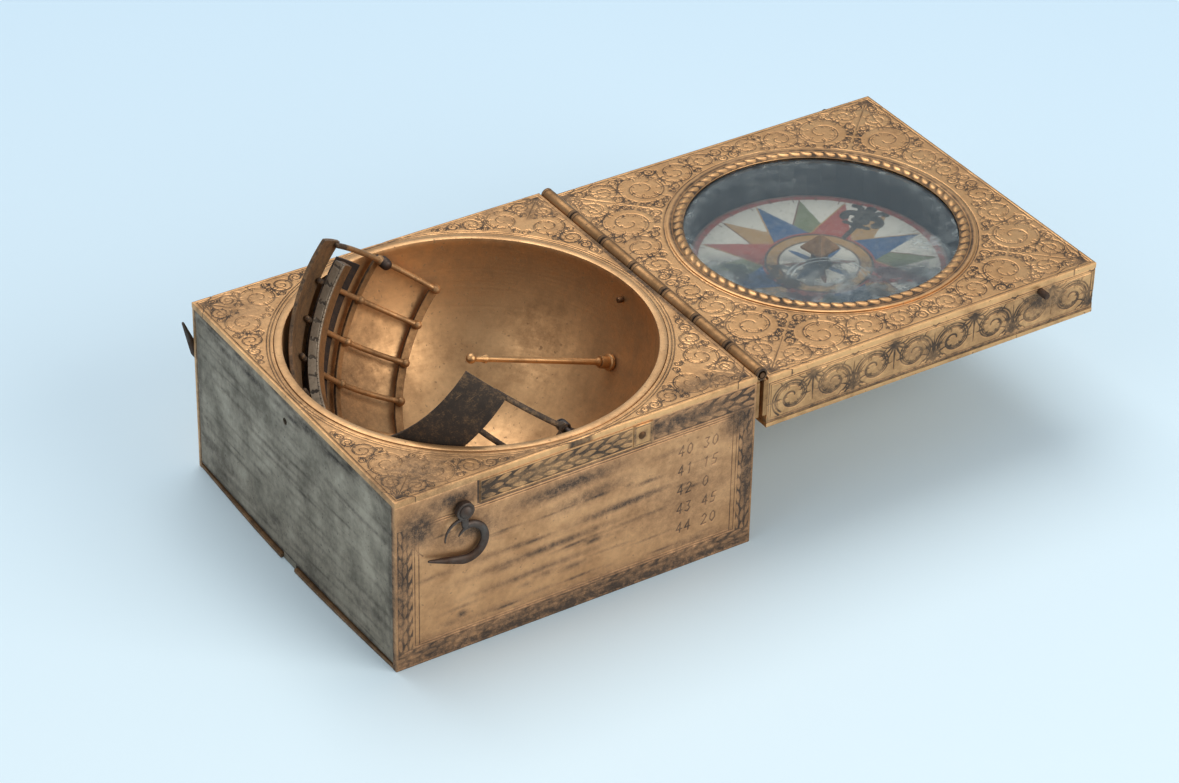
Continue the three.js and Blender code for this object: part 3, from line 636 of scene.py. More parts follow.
class Nodes:
    """Adds and joins the nodes of one node tree."""

    def __init__(self, tree):
        self.tree = tree

    def link(self, start, end):
        """Joins an output to an input."""
        self.tree.links.new(start, end)

    def add(self, kind, inputs=None, **settings):
        """A node with its settings, and its inputs set to values or joined to sockets."""
        node = self.tree.nodes.new("ShaderNode" + kind)
        for name, value in settings.items():
            setattr(node, name, value)
        for name, value in (inputs or {}).items():
            if isinstance(value, bpy.types.NodeSocket):
                self.link(value, node.inputs[name])
            else:
                node.inputs[name].default_value = value
        return node

    def math(self, operation, a, b, clamp=False):
        """One sum of two values or sockets."""
        return self.add("Math", {0: a, 1: b}, operation=operation, use_clamp=clamp).outputs[0]

    def plus(self, a, b, clamp=False):
        """Two values added."""
        return self.math("ADD", a, b, clamp)

    def less(self, a, b):
        """The second value taken from the first."""
        return self.math("SUBTRACT", a, b)

    def times(self, a, b, clamp=False):
        """Two values multiplied."""
        return self.math("MULTIPLY", a, b, clamp)

    def most(self, a, b):
        """The larger of two values."""
        return self.math("MAXIMUM", a, b)

    def mix(self, share, a, b):
        """One colour passing into another by a share."""
        return self.add("Mix", {0: share, 6: a, 7: b}, data_type="RGBA").outputs[2]

    def ramp(self, value, low, high):
        """A value stretched so that low gives 0 and high gives 1."""
        return self.add("MapRange", {0: value, 1: low, 2: high, 3: 0.0, 4: 1.0}, clamp=True).outputs[0]

    def noise(self, place, scale, detail=4.0, rough=0.55):
        """Cloudy noise at a place, in cells to the metre."""
        inputs = {"Vector": place, "Scale": scale, "Detail": detail, "Roughness": rough}
        return self.add("TexNoise", inputs).outputs["Fac"]

    def place(self):
        """The place on the object."""
        return self.add("TexCoord").outputs["Object"]

    def field(self, name, part="Fac"):
        """A value that the mesh carries, or nothing where it has none."""
        return self.add("Attribute", attribute_name=name).outputs[part]

    def bump(self, height, strength, distance):
        """A normal that follows a height."""
        inputs = {"Height": height, "Strength": strength, "Distance": distance}
        return self.add("Bump", inputs).outputs[0]


def node_group(name, inputs, outputs):
    """An empty shader node group with named sockets."""
    tree = bpy.data.node_groups.new(name, "ShaderNodeTree")
    for label, kind in inputs:
        tree.interface.new_socket(label, in_out="INPUT", socket_type="NodeSocket" + kind)
    for label, kind in outputs:
        tree.interface.new_socket(label, in_out="OUTPUT", socket_type="NodeSocket" + kind)
    return tree, tree.nodes.new("NodeGroupInput").outputs, tree.nodes.new("NodeGroupOutput").inputs


def tarnish_group():
    """Old metal: bright and dull clouds, dirt in grooves and stains, dark specks and bright edges."""
    inputs = [("Place", "Vector"), ("Bright", "Color"), ("Dull", "Color"), ("Dirt", "Color")]
    inputs += [("Age", "Float"), ("Groove", "Float"), ("Stain", "Float"), ("Edge", "Float")]
    outputs = [("Color", "Color"), ("Roughness", "Float"), ("Metal", "Float"), ("Height", "Float")]
    tree, given, result = node_group("tarnish", inputs, outputs)
    n = Nodes(tree)
    place, age = given["Place"], given["Age"]
    clouds = n.ramp(n.noise(place, 150.0, 6.0, 0.62), 0.34, 0.68)
    mottle = n.noise(place, 900.0, 5.0, 0.65)
    grain = n.noise(place, 4200.0, 3.0, 0.6)
    dull = n.times(n.plus(clouds, n.less(mottle, 0.5)), age, True)
    colour = n.mix(dull, given["Bright"], given["Dull"])
    specks = n.ramp(n.noise(place, 1500.0, 2.0, 0.5), 0.66, 0.72)
    specks = n.times(specks, n.times(age, 0.55))
    broken = n.less(n.plus(n.times(mottle, 1.3), n.times(grain, 0.9)), 0.6)
    # The stain field holds real stains and, on some pieces, painted shade.
    stain = n.times(given["Stain"], n.plus(broken, n.times(given["Stain"], 0.5)), True)
    worn = n.plus(n.times(clouds, 0.45), n.plus(mottle, 0.15))
    groove = n.times(n.ramp(given["Groove"], 0.2, 0.85), worn, True)
    dirt = n.most(n.most(stain, groove), specks)
    rubbed = n.times(given["Edge"], n.less(0.8, dirt), True)
    rubbed = n.times(rubbed, n.ramp(n.noise(place, 520.0), 0.36, 0.62))
    colour = n.mix(rubbed, colour, given["Bright"])
    n.link(n.mix(n.times(dirt, 0.93), colour, given["Dirt"]), result["Color"])
    rough = n.plus(n.plus(0.3, n.times(dull, 0.2)), n.times(grain, 0.12))
    n.link(n.plus(rough, n.times(dirt, 0.32), True), result["Roughness"])
    n.link(n.less(1.0, n.times(dirt, 0.75)), result["Metal"])
    n.link(n.plus(n.times(grain, 0.35), n.times(mottle, 0.65)), result["Height"])
    return tree


def scratch_group():
    """Fine scratches: noise drawn out along two slanting directions and cut off low."""
    inputs = [("Place", "Vector"), ("Fineness", "Float")]
    tree, given, result = node_group("scratches", inputs, [("Mask", "Float")])
    n = Nodes(tree)
    masks = []
    for turn, stretch in ((0.6, 14.0), (-0.9, 18.0)):
        slant = (turn, turn * 0.7, turn)
        slanted = n.add("Mapping", {"Vector": given["Place"], "Rotation": slant}).outputs[0]
        thin = n.add("Mapping", {"Vector": slanted, "Scale": (1.0, stretch, stretch)}).outputs[0]
        cloud = n.add("TexNoise", {"Vector": thin, "Scale": given["Fineness"], "Detail": 2.0})
        masks.append(n.ramp(cloud.outputs["Fac"], 0.69, 0.76))
    n.link(n.most(*masks), result["Mask"])
    return tree


def new_material(name):
    """A bare material: its node helper and its Principled shader."""
    material = bpy.data.materials.new(name)
    material.use_nodes = True
    n = Nodes(material.node_tree)
    return material, n, material.node_tree.nodes["Principled BSDF"]


def metal(name, groups, dirt, bright, dull, age, bump, rough=0.0, turning=False):
    """Old metal with tarnish and scratches; turning adds rings from a lathe."""
    material, n, shader = new_material(name)
    place = n.place()
    values = {"Place": place, "Bright": bright, "Dull": dull, "Dirt": dirt, "Age": age}
    values.update({"Groove": n.field("groove"), "Stain": n.field("stain"), "Edge": n.field("edge")})
    old = n.add("Group", values, node_tree=groups["tarnish"])
    marks = n.add("Group", {"Place": place, "Fineness": 260.0}, node_tree=groups["scratches"])
    scratch = marks.outputs["Mask"]
    height = n.less(old.outputs["Height"], n.times(scratch, 0.5))
    roughness = n.plus(old.outputs["Roughness"], rough, True)
    if turning:
        level = n.add("SeparateXYZ", {0: place}).outputs["Z"]
        ring = n.add("CombineXYZ", {2: level}).outputs[0]
        rings = n.add("TexNoise", {"Vector": ring, "Scale": 2600.0, "Detail": 3.0}).outputs["Fac"]
        height = n.plus(height, n.times(rings, 0.9))
        roughness = n.plus(roughness, n.times(n.less(rings, 0.5), 0.25), True)
    n.link(n.mix(n.times(scratch, 0.3), old.outputs["Color"], bright), shader.inputs["Base Color"])
    n.link(roughness, shader.inputs["Roughness"])
    n.link(old.outputs["Metal"], shader.inputs["Metallic"])
    n.link(n.bump(height, bump, 0.00006), shader.inputs["Normal"])
    return material


def painted_paper():
    """The card's paints, a little rubbed and foxed."""
    material, n, shader = new_material("painted_paper")
    place = n.place()
    rubbed = n.ramp(n.noise(place, 700.0, 5.0, 0.65), 0.42, 0.75)
    colour = n.mix(n.times(rubbed, 0.3), n.field("paint", "Color"), (0.62, 0.6, 0.54, 1))
    foxing = n.ramp(n.noise(place, 1300.0, 3.0), 0.6, 0.72)
    n.link(n.mix(n.times(foxing, 0.5), colour, (0.1, 0.085, 0.07, 1)), shader.inputs["Base Color"])
    n.link(n.plus(0.72, n.times(rubbed, 0.2)), shader.inputs["Roughness"])
    n.link(n.bump(n.noise(place, 5200.0, 3.0), 0.3, 0.00005), shader.inputs["Normal"])
    return material


def clear_glass():
    """Old window glass, slightly green, with faint waves; shadows pass through it."""
    material, n, shader = new_material("old_glass")
    shader.inputs["Base Color"].default_value = (0.93, 0.95, 0.94, 1)
    shader.inputs["Transmission Weight"].default_value = 1.0
    shader.inputs["IOR"].default_value = 1.47
    waves = n.noise(n.place(), 120.0, 2.0)
    n.link(n.times(waves, 0.08), shader.inputs["Roughness"])
    n.link(n.bump(waves, 0.08, 0.0004), shader.inputs["Normal"])
    through = n.add("BsdfTransparent", {"Color": (0.88, 0.9, 0.89, 1)}).outputs[0]
    shadow = n.add("LightPath").outputs["Is Shadow Ray"]
    mixed = n.add("MixShader", {0: shadow, 1: shader.outputs[0], 2: through}).outputs[0]
    n.link(mixed, n.tree.nodes["Material Output"].inputs["Surface"])
    return material


def glass_haze():
    """A thin dark film and whitish bloom under the glass, with painted shade towards the near side and pale
    arcs of painted reflection: cloudy, thick where the mesh says so, thin elsewhere.
    """
    material, n, shader = new_material("glass_bloom")
    place = n.place()
    shader.inputs["Roughness"].default_value = 0.85
    cloud = n.ramp(n.noise(place, 420.0, 6.0, 0.7), 0.4, 0.72)
    # The edge field brings the painted reflection arcs into pale, and the groove field carries the painted
    # shade on the near side.
    pale = n.most(n.times(n.field("stain"), cloud), n.field("edge"))
    near_shade = n.times(n.field("groove"), n.ramp(n.noise(place, 260.0, 5.0, 0.6), 0.28, 0.52))
    film = n.mix(near_shade, (0.1, 0.1, 0.095, 1), (0.035, 0.04, 0.044, 1))
    n.link(n.mix(pale, film, (0.36, 0.39, 0.4, 1)), shader.inputs["Base Color"])
    n.link(n.plus(0.3, n.times(n.most(pale, near_shade), 0.6), True), shader.inputs["Alpha"])
    return material


def toned(colour, share):
    """A colour times one share or three."""
    return tuple(float(value) for value in np.minimum(1.0, np.array(colour[:3]) * share)) + (1.0,)


def make_materials(colours):
    """All finishes by name. A metal's row: bright and dull colour, age, bump, roughness and turning."""
    groups = {"tarnish": tarnish_group(), "scratches": scratch_group()}
    dirt = tuple(colours.dirt)
    bright, dull = tuple(colours.gilt_bright), tuple(colours.gilt_dull)
    brown, iron = tuple(colours.browned), tuple(colours.iron)
    silver, grey = tuple(colours.silver_bright), tuple(colours.silver_dull)
    wall_tone = (0.96, 0.92, 0.98)
    metals = {
        "engraved_gilt": (bright, dull, 0.75, 0.35),
        "wall_gilt": (toned(bright, wall_tone), toned(dull, wall_tone), 0.75, 0.35),
        "plain_gilt": (bright, dull, 1.0, 0.4),
        "worn_gilt": (toned(dull, 1.25), toned(dull, 0.55), 1.0, 0.5, 0.05),
        "bowl_gilt": ((0.78, 0.47, 0.23, 1), (0.37, 0.215, 0.105, 1), 0.7, 0.22, 0.04, True),
        "silvering": (silver, grey, 1.0, 0.5, 0.08),
        "scale_silver": (toned(silver, 1.35), toned(silver, 0.75), 0.8, 0.3, 0.1),
        # The well's near-black grey is painted shade deep inside the well.
        "well_grey": ((0.046, 0.052, 0.056, 1), (0.026, 0.03, 0.034, 1), 1.0, 0.5, 0.2),
        "browned_brass": (toned(brown, 1.3), toned(brown, 0.6), 1.0, 0.5, 0.1),
        "dark_iron": (toned(iron, 1.6), (0.085, 0.045, 0.028, 1), 1.0, 0.8, 0.12),
    }
    finishes = {name: metal(name, groups, dirt, *row) for name, row in metals.items()}
    finishes.update(painted_paper=painted_paper(), old_glass=clear_glass(), glass_bloom=glass_haze())
    return finishes


FINISH = {}


# Pieces


def plain_plate(name, node, facing, body, finish, edge, pitch=1.6, stains=()):
    """A plain plate in a CAD node's box, with worn edges and soft stains."""
    face = Face(*box_mm(node), facing, pitch, edge)
    face.blots(stains)
    put_plate(name, face, 0.0, body, finish, node)


def put_plate(name, face, depth, body, finish, node):
    """Puts a plate with its worked face in the place of a CAD node."""
    shell = plate_shell(face, depth)
    put_piece(name, shell, body, finish, [node], face.fields(shell))


def side_peg(node):
    """Foot, outward axis, length and radius of a round CAD node that stands out along Y."""
    low, high = box_mm(node)
    middle = (low + high) / 2
    away = -1 if middle[1] < 0 else 1
    foot = np.array([middle[0], high[1] if away < 0 else low[1], middle[2]])
    return foot, np.array([0, away, 0]), high[1] - low[1], (high[0] - low[0]) / 2


def garland_frame(face, top_start, width):
    """Garlands round a wall, the top one from a given place on, and ruled lines inside them."""
    wide, high = face.width, face.height
    leaf_chain(face, (0.4, 0.35), (wide - 0.4, 3.2), 2.7)
    leaf_chain(face, (top_start, high - 4.1), (wide - 0.4, high - 0.3), 2.7)
    leaf_chain(face, (0.4, 3.3), (3.0, high - 4.4), 2.5, "v", 0.9)
    leaf_chain(face, (wide - 3.0, 3.3), (wide - 0.4, high - 4.4), 2.5, "v", 0.9)
    for inset in (3.35, 4.05):
        border(face, 0, width * 0.9, (inset, 3.6), (wide - inset, high - 4.5))
    border(face, 0, width * 0.7, (4.05, 4.0), (wide - 4.05, high - 4.95))


def row_smears(face, rows, seed):
    """Broken smears along level rows: short ovals of drawn length, width and strength."""
    draw = np.random.default_rng(seed)
    for level in rows:
        for place in draw.uniform(6, face.width - 6, 9):
            long, short, strength = draw.uniform((1.2, 0.3, 0.35), (5.0, 0.8, 0.95))
            height, turn = level + draw.uniform(-0.5, 0.5), draw.uniform(-0.02, 0.06)
            face.blot(place, height, long, short, strength, turn)


FRONT_SEED, BACK_SEED, LEFT_SEED, TOP_SEED, LID_SEED = 5, 11, 3, 8, 21
FRONT_ROWS, BACK_ROWS = (22.6, 19.0, 15.4, 11.8, 8.2, 5.2), (22, 18, 14, 10, 6)
FIGURE_ROWS = (("40 30", 21.2), ("41 15", 17.6), ("42 0", 14.0), ("43 45", 10.4), ("44 20", 6.8))
FRONT_STAINS = (
    (30, 23.4, 13, 1.8, 0.95, 0.04), (13, 21.5, 7, 3.2, 0.85), (41, 16.2, 12, 0.9, 0.95, 0.05),
    (27, 13.2, 15, 0.8, 0.85, 0.03), (24, 9.6, 13, 0.7, 0.75, 0.02), (45, 12.6, 9, 0.6, 0.7, 0.03),
    (34, 20.2, 9, 1.6, 0.75, 0.1), (18, 5.2, 12, 0.9, 0.55), (52, 4.6, 9, 1.2, 0.7), (4, 25, 5, 4.5, 1.0),
    (10, 28, 6, 2.2, 1.0), (12.5, 23.5, 3.2, 3.0, 0.8), (61, 24.5, 4, 4.5, 0.95), (36, 0.9, 80, 1.9, 1.0),
    (50, 28, 16, 2.4, 0.95), (1.2, 14, 1.9, 15, 0.85), (62.8, 14, 1.8, 15, 0.95), (52, 14, 14, 10, 0.5),
    (32, 2.2, 80, 2.6, 0.85), (11.5, 6.6, 1.0, 0.8, 1.0), (32, 0, 80, 0.5, 1.0),
)
BACK_STAINS = (
    (20, 12, 16, 5, 0.5, 0.1), (45, 20, 14, 3, 0.6, -0.1), (32, 1.2, 36, 1.8, 0.9), (32, 28, 34, 2.2, 0.8),
)
RIGHT_STAINS = ((30, 28, 30, 3, 0.9), (30, 2, 30, 3, 0.8), (15, 14, 12, 6, 0.5), (48, 12, 8, 7, 0.5))


def front_face(pitch, edge, width):
    """The front wall: garlands round a field with plain figures, the hook's track and long smears."""
    low, high = box_mm("front_wall")
    span = high - low
    face = Face(low, high, "-y", fine_pitch(span[0] * span[2], pitch), edge)
    strip_low, strip_high = box_mm("ornament_strip") - low
    garland_frame(face, strip_high[0] + 0.3, width)
    face.line([(strip_low[0] - 0.25, strip_low[2]), (strip_low[0] - 0.25, face.height)], 0.3)
    face.line([(strip_low[0], strip_low[2] - 0.12), (strip_high[0], strip_low[2] - 0.12)], 0.18)
    pivot = (side_peg("front_hook_rivet")[0] - low)[[0, 2]]
    face.line(arc_line(pivot, 9.2, 224, 196, 20), np.linspace(0.2, 0.08, 20))
    face.line(arc_line(pivot, 9.5, 220, 204, 16), 0.08)
    for text, level in FIGURE_ROWS:
        for stroke in figure_strokes(text, (face.width - 14.2, level), 1.9):
            face.line(stroke, 1.5 * width)
    row_smears(face, FRONT_ROWS, FRONT_SEED)
    face.blots(FRONT_STAINS)
    return face


def back_face(pitch, edge, width):
    """The back wall: garlands round a bare field with long smears."""
    face = Face(*box_mm("back_wall"), "+y", pitch * 1.5, edge)
    garland_frame(face, 0.4, width)
    row_smears(face, BACK_ROWS, BACK_SEED)
    face.blots(BACK_STAINS)
    return face


WALL_BOW, WALL_PITCH, WALL_RISE = 0.5, 0.22, 0.4
PEEP_RADIUS, PEEP_ASIDE, PEEP_DROP = 0.6, 1.6, 4.0
TAB_START, TAB_END, TAB_GAP = -1.5, 2.5, 0.2
FOOT_STRIP, FOOT_PITCH, FOOT_BOW = 1.1, 0.6, 1.9 * WALL_BOW


class DIAL_OT_case(bpy.types.Operator):
    """Builds the plates of the case: four walls, the bottom and the engraved top"""

    bl_idname = "dial.case"
    bl_label = "Case plates"

    def execute(self, context):
        pitch, edge, depth, width = engraving(context)
        front, back = front_face(pitch, edge, width), back_face(pitch, edge, width)
        for face in (front, back):
            face.stain[0] = face.stain[-1] = PLATE_END_STAIN
        put_plate("front_wall_engraved", front, depth, "case", "wall_gilt", "front_wall")
        put_plate("back_wall_engraved", back, depth, "case", "engraved_gilt", "back_wall")
        self.left_wall(edge)
        plain_plate("right_wall_plate", "right_wall", "+x", "case", "worn_gilt", edge, 0.8, RIGHT_STAINS)
        self.bottom(edge)
        self.top_plate(pitch, edge, depth, width)
        return {"FINISHED"}

    def left_wall(self, edge):
        """The silvered wall with its peep hole and its tab. Its foot bows out: half a millimetre times
        the sine of the length times the cube of the nearness to the foot."""
        low, high = box_mm("left_wall")
        foot = box_mm("bottom_plate")[1][2] + WALL_RISE
        face = Face((low[0], low[1], foot), high, "-x", WALL_PITCH, edge)
        bow = WALL_BOW * np.sin(np.pi * face.u / face.width)
        face.bulge = bow[:, None] * fading(face.v, face.height)[None, :] ** 3
        hole = (high[1] - PEEP_ASIDE, high[2] - PEEP_DROP - foot)
        rim = np.hypot(face.u[:, None] - hole[0], face.v[None, :] - hole[1]) - PEEP_RADIUS
        face.edge = np.maximum(face.edge * 0.5, 0.8 * fading(np.abs(rim), 0.35))
        draw = np.random.default_rng(LEFT_SEED)
        for place in draw.uniform(0, face.width, 26):
            long, short, strength = draw.uniform((1.5, 0.3, 0.5), (7.0, 1.0, 1.0))
            level = face.height - draw.uniform(0.0, 2.4)
            face.blot(place, level, long, short, strength, draw.uniform(-0.06, 0.06))
        for place in draw.uniform(0, face.width, 16):
            level, long, short = draw.uniform(0, 7), draw.uniform(3, 8), draw.uniform(0.4, 1.4)
            face.blot(place, level, long, short, 0.6, draw.uniform(-0.1, 0.1))
        for place in draw.uniform(0, face.width, 60):
            long, short, strength = draw.uniform((3.0, 0.12, 0.3), (13.0, 0.5, 0.75))
            level = draw.uniform(0, face.height)
            face.blot(place, level, long, short, strength, draw.uniform(-0.05, 0.05))
        # The last blot, a long line at the foot, is painted shade of the gap between the wall and the
        # bottom plate.
        face.blots(((0.5, 15, 1.0, 14, 0.6), (face.width - 0.5, 15, 0.8, 14, 0.7), (30, 0.2, 60, 0.5, 1.0)))
        tab_low = (low[0] - WALL_BOW, TAB_START, 0.1)
        tab = Face(tab_low, (high[0] - WALL_BOW, TAB_END, foot + 0.3), "-x", 1.0, 0.1)
        shell = join_shells([holed_shell(face, 0.0, hole, PEEP_RADIUS), plate_shell(tab)])
        put_piece("left_wall_silvered", shell, "case", "silvering", ["left_wall"],
                  face.fields(shell))

    def bottom(self, edge):
        """The bottom in three sheets: the main one, and two strips beside the tab. A strip's outer edge
        follows the wall's bow: it is moved out by its share of the width times the cosine of the
        length."""
        low, high = box_mm("bottom_plate")
        inner = low[0] + FOOT_STRIP
        shells = [plate_shell(Face((inner, low[1], 0), high, "-z", 2.0, edge))]
        for start, end in ((low[1], TAB_START - TAB_GAP), (TAB_END + TAB_GAP, high[1])):
            strip = Face((low[0], start, 0), (inner, end, high[2]), "-z", FOOT_PITCH, edge)
            points, faces = plate_shell(strip)
            share = np.clip((inner - points[:, 0]) / FOOT_STRIP, 0, 1)
            points[:, 0] -= FOOT_BOW * share * np.cos(np.pi * points[:, 1] / (high[1] - low[1]))
            shells.append((points, faces))
        shell = join_shells(shells)
        outer = np.clip((inner + 0.3 - shell[0][:, 0]) / 0.5, 0, 1)
        fields = {"stain": 0.68 * outer, "edge": 0.6 * outer}
        put_piece("bottom_plate_sheet", shell, "case", "worn_gilt", ["bottom_plate"], fields)

    def top_plate(self, pitch, edge, depth, width):
        """The top round the bowl: scrolls in the corners, ruled edges and two rings round the bowl."""
        face = Face(*box_mm("top_plate"), "+z", pitch, edge)
        wide, high = face.width, face.height
        centre = (wide / 2, high / 2)
        hole = BOWL_HIGH[0] + 0.1
        strokes = spandrel_strokes(*centre, hole + 1.2, 0.75, 3.2, 0.4, 36)
        cut_corners(face, strokes, width)
        border(face, 0.55, width * 0.8)
        for radius in (hole + 0.55, hole + 1.0):
            face.line(arc_line(centre, radius, 0, 360, 240), width * 0.8)
        draw = np.random.default_rng(TOP_SEED)
        for u, v in draw.uniform(0, 11, (40, 2)):
            flip_u, flip_v = draw.integers(0, 2, 2)
            place = (wide - u if flip_u else u, high - v if flip_v else v)
            face.blot(*place, *draw.uniform(0.5, 2.2, 2), draw.uniform(0.3, 0.75), draw.uniform(0, 3))
        face.blots((
            (2, 32, 1.6, 16, 0.5), (wide - 8, 3.0, 9, 2.2, 0.8), (wide - 0.3, 32, 0.7, 34, 0.95),
            (22, 1.2, 14, 0.9, 0.7), (32, high - 1, 24, 0.8, 0.5), (7, 5, 12, 8, 0.78),
            (14, 2, 12, 1.6, 0.6), (3, 12, 2.5, 9, 0.5), (5, 57, 7, 7, 0.6), (6, 6, 9, 9, 0.5),
        ))
        shell = holed_shell(face, depth, centre, hole)
        put_piece("top_plate_engraved", shell, "case", "engraved_gilt", ["top_plate"],
                  face.fields(shell))


class DIAL_OT_bowl(bpy.types.Operator):
    """Turns the bowl with its flat lip"""

    bl_idname = "dial.bowl"
    bl_label = "Bowl"

    def execute(self, context):
        edge = engraving(context)[1]
        bend = edge * 0.3
        lip_radius, lip_top = BOWL_HIGH[0], BOWL_HIGH[2]
        centre, inner = BOWL_CENTRE[2], BOWL_INNER
        outer = centre - BOWL_LOW[2]
        lip_foot = box_mm("top_plate")[0][2]
        fall = np.radians(np.linspace(-90, math.degrees(math.asin((lip_foot - centre) / outer)), 40))
        rise = np.radians(np.linspace(0, -90, 80))
        outside = np.stack([outer * np.cos(fall), centre + outer * np.sin(fall)], -1)
        lip = [(lip_radius, lip_foot), (lip_radius, lip_top - edge), (lip_radius - bend, lip_top - bend)]
        lip += [(lip_radius - edge, lip_top), (inner + edge, lip_top), (inner + bend, lip_top - bend)]
        lip += [(inner, lip_top - edge)]
        hollow = np.stack([inner * np.cos(rise), centre + inner * np.sin(rise)], -1)
        profile = np.concatenate([outside, lip, hollow])
        profile[[0, -1], 0] = 0
        shell = turned(profile, 180)
        x, y, height = shell[0].T
        rim = fading(np.abs(np.hypot(x, y) - inner), 0.5) * (height > centre - 0.2)
        below = np.clip((lip_top - height) / 6, 0, 1)
        # Below the lip the stain darkens the bowl towards the hinge side, and as painted shade on the side
        # under the cage and under its north band.
        hinge_side = np.clip((x - 4) / 26, 0, 1) * below
        cage_shade = np.clip((2 - x) / 16, 0, 1) * below
        band_shade = np.clip((-18 - x) / 4, 0, 1) * below
        fields = {"edge": rim, "stain": 0.22 * hinge_side + 0.6 * cage_shade + 0.35 * band_shade}
        put_piece("bowl_turned", shell, "case", "bowl_gilt", ["scaphe_bowl"], fields)
        return {"FINISHED"}


STRIP_END = 3.5


class DIAL_OT_strip(bpy.types.Operator):
    """Builds the garland strip let into the front wall, and its rivet"""

    bl_idname = "dial.strip"
    bl_label = "Ornament strip"

    def execute(self, context):
        pitch, edge, depth, _ = engraving(context)
        low, high = box_mm("ornament_strip")
        face = Face(low, high, "-y", pitch, edge)
        wide = face.width
        leaf_chain(face, (0.2, 0.3), (wide - STRIP_END - 0.2, face.height - 0.3), 2.7)
        face.blots((
            (wide * 0.3, 2, 8, 2.2, 0.8), (wide * 0.7, 1, 6, 1.6, 0.6), (1, 2, 3, 3, 0.9),
            (wide / 2, 2, 40, 3, 0.6),
        ))
        end_low = (high[0] - STRIP_END, low[1] - 0.14, low[2] + 0.15)
        end = Face(end_low, (high[0] - 0.1, low[1] + 0.2, high[2] - 0.05), "-y", 0.2, 0.1)
        border(end, 0.35, 0.12)
        end.blots(((1.6, 1.9, 1.1, 1.1, 0.9), (0.2, 2, 0.4, 3, 0.9), (3.2, 2, 0.4, 3, 0.9)))
        shells = [plate_shell(face, depth), plate_shell(end, 0.06)]
        main_fields, end_fields = face.fields(shells[0]), end.fields(shells[1])
        fields = {name: np.concatenate([main_fields[name], end_fields[name]]) for name in main_fields}
        put_piece("ornament_strip_engraved", join_shells(shells), "case", "engraved_gilt",
                  ["ornament_strip"], fields)
        foot, axis, tall, radius = side_peg("ornament_strip_rivet")
        dome = np.radians(np.linspace(0, 90, 8))
        profile = np.concatenate([[(0, 0)], np.stack([radius * np.cos(dome), tall * np.sin(dome)], -1)])
        rivet = turned(profile, 24, foot, axis)
        put_piece("strip_rivet_domed", rivet, "case", "browned_brass", ["ornament_strip_rivet"])
        return {"FINISHED"}


KNUCKLES, KNUCKLE_GAP = 7, 0.2
LEAF_SHEET, LEAF_DROP = 0.8, 0.2
WEB_DROP, WEB_SEAT = 0.45, 0.4
BORE_GAP = 0.3


class DIAL_OT_hinge(bpy.types.Operator):
    """Builds the two hinge leaves with their knuckles, and the pin"""

    bl_idname = "dial.hinge"
    bl_label = "Hinge"

    def execute(self, context):
        low, high = box_mm("hinge_pin")
        pin, long = (high[2] - low[2]) / 2, high[1] - low[1]
        axis_x, axis_z = (low[0] + high[0]) / 2, (low[2] + high[2]) / 2
        step = long / KNUCKLES
        barrel = box_mm("case_hinge_leaf")[1][2] - axis_z
        leaf_top = axis_z - barrel - LEAF_DROP
        for body, first in (("case", 0), ("lid", 1)):
            node = body + "_hinge_leaf"
            leaf_low, leaf_high = box_mm(node)
            left = leaf_low[0] if body == "case" else leaf_high[0] - LEAF_SHEET
            right = left + LEAF_SHEET if body == "case" else leaf_high[0]
            leaf = Face((left, low[1], leaf_low[2]), (right, high[1], leaf_top), "-y", 2.0, 0.1)
            shells = [plate_shell(leaf)]
            grooves = [np.zeros(len(shells[0][0]))]
            for number in range(first, KNUCKLES, 2):
                start = low[1] + number * step + KNUCKLE_GAP / 2
                end = start + step - KNUCKLE_GAP
                shell, groove = self.knuckle(axis_x, axis_z, start, end, barrel, pin + BORE_GAP)
                web_low, web_high = (left, start, leaf_top - WEB_SEAT), (right, end, axis_z - WEB_DROP)
                web = Face(web_low, web_high, "-y", 2.0, 0.1)
                shells += [shell, plate_shell(web)]
                grooves += [groove, np.zeros(len(shells[-1][0]))]
            put_piece(body + "_leaf_knuckles", join_shells(shells), body, "worn_gilt", [node],
                      {"groove": np.concatenate(grooves)})
        rod = turned([(0, 0), (pin, 0), (pin, long), (0, long)], 24, (axis_x, low[1], axis_z), (0, 1, 0))
        put_piece("hinge_wire", rod, "case", "browned_brass", ["hinge_pin"])
        return {"FINISHED"}

    def knuckle(self, x, z, start, end, radius, bore):
        """A bored barrel along Y, with rounded ends and a shallow turned line near each, and its dirt."""
        long = end - start
        ends = [(0.1, 0), (0, 0.08), (0, 0.5), (0.06, 0.62), (0, 0.74)]
        profile = [(bore, 0)]
        profile += [(radius - depth, place) for depth, place in ends]
        profile += [(radius, place) for place in np.linspace(1.0, long - 1.0, 12)]
        profile += [(radius - depth, long - place) for depth, place in ends[::-1]]
        profile += [(bore, long)]
        shell = turned(profile, 40, (x, start, z), (0, 1, 0), True)
        dirt = [1, 1, 0.8, 0.3, 1, 0.3]
        return shell, np.tile(np.array(dirt + [0] * 12 + dirt[::-1]), 40)


LID_HOLE = 23.4
LID_WALLS = (("lid_front_engraved", "lid_front_wall", "-y"), ("lid_rear_engraved", "lid_rear_wall", "+y"),
             ("lid_far_engraved", "lid_far_wall", "+x"))


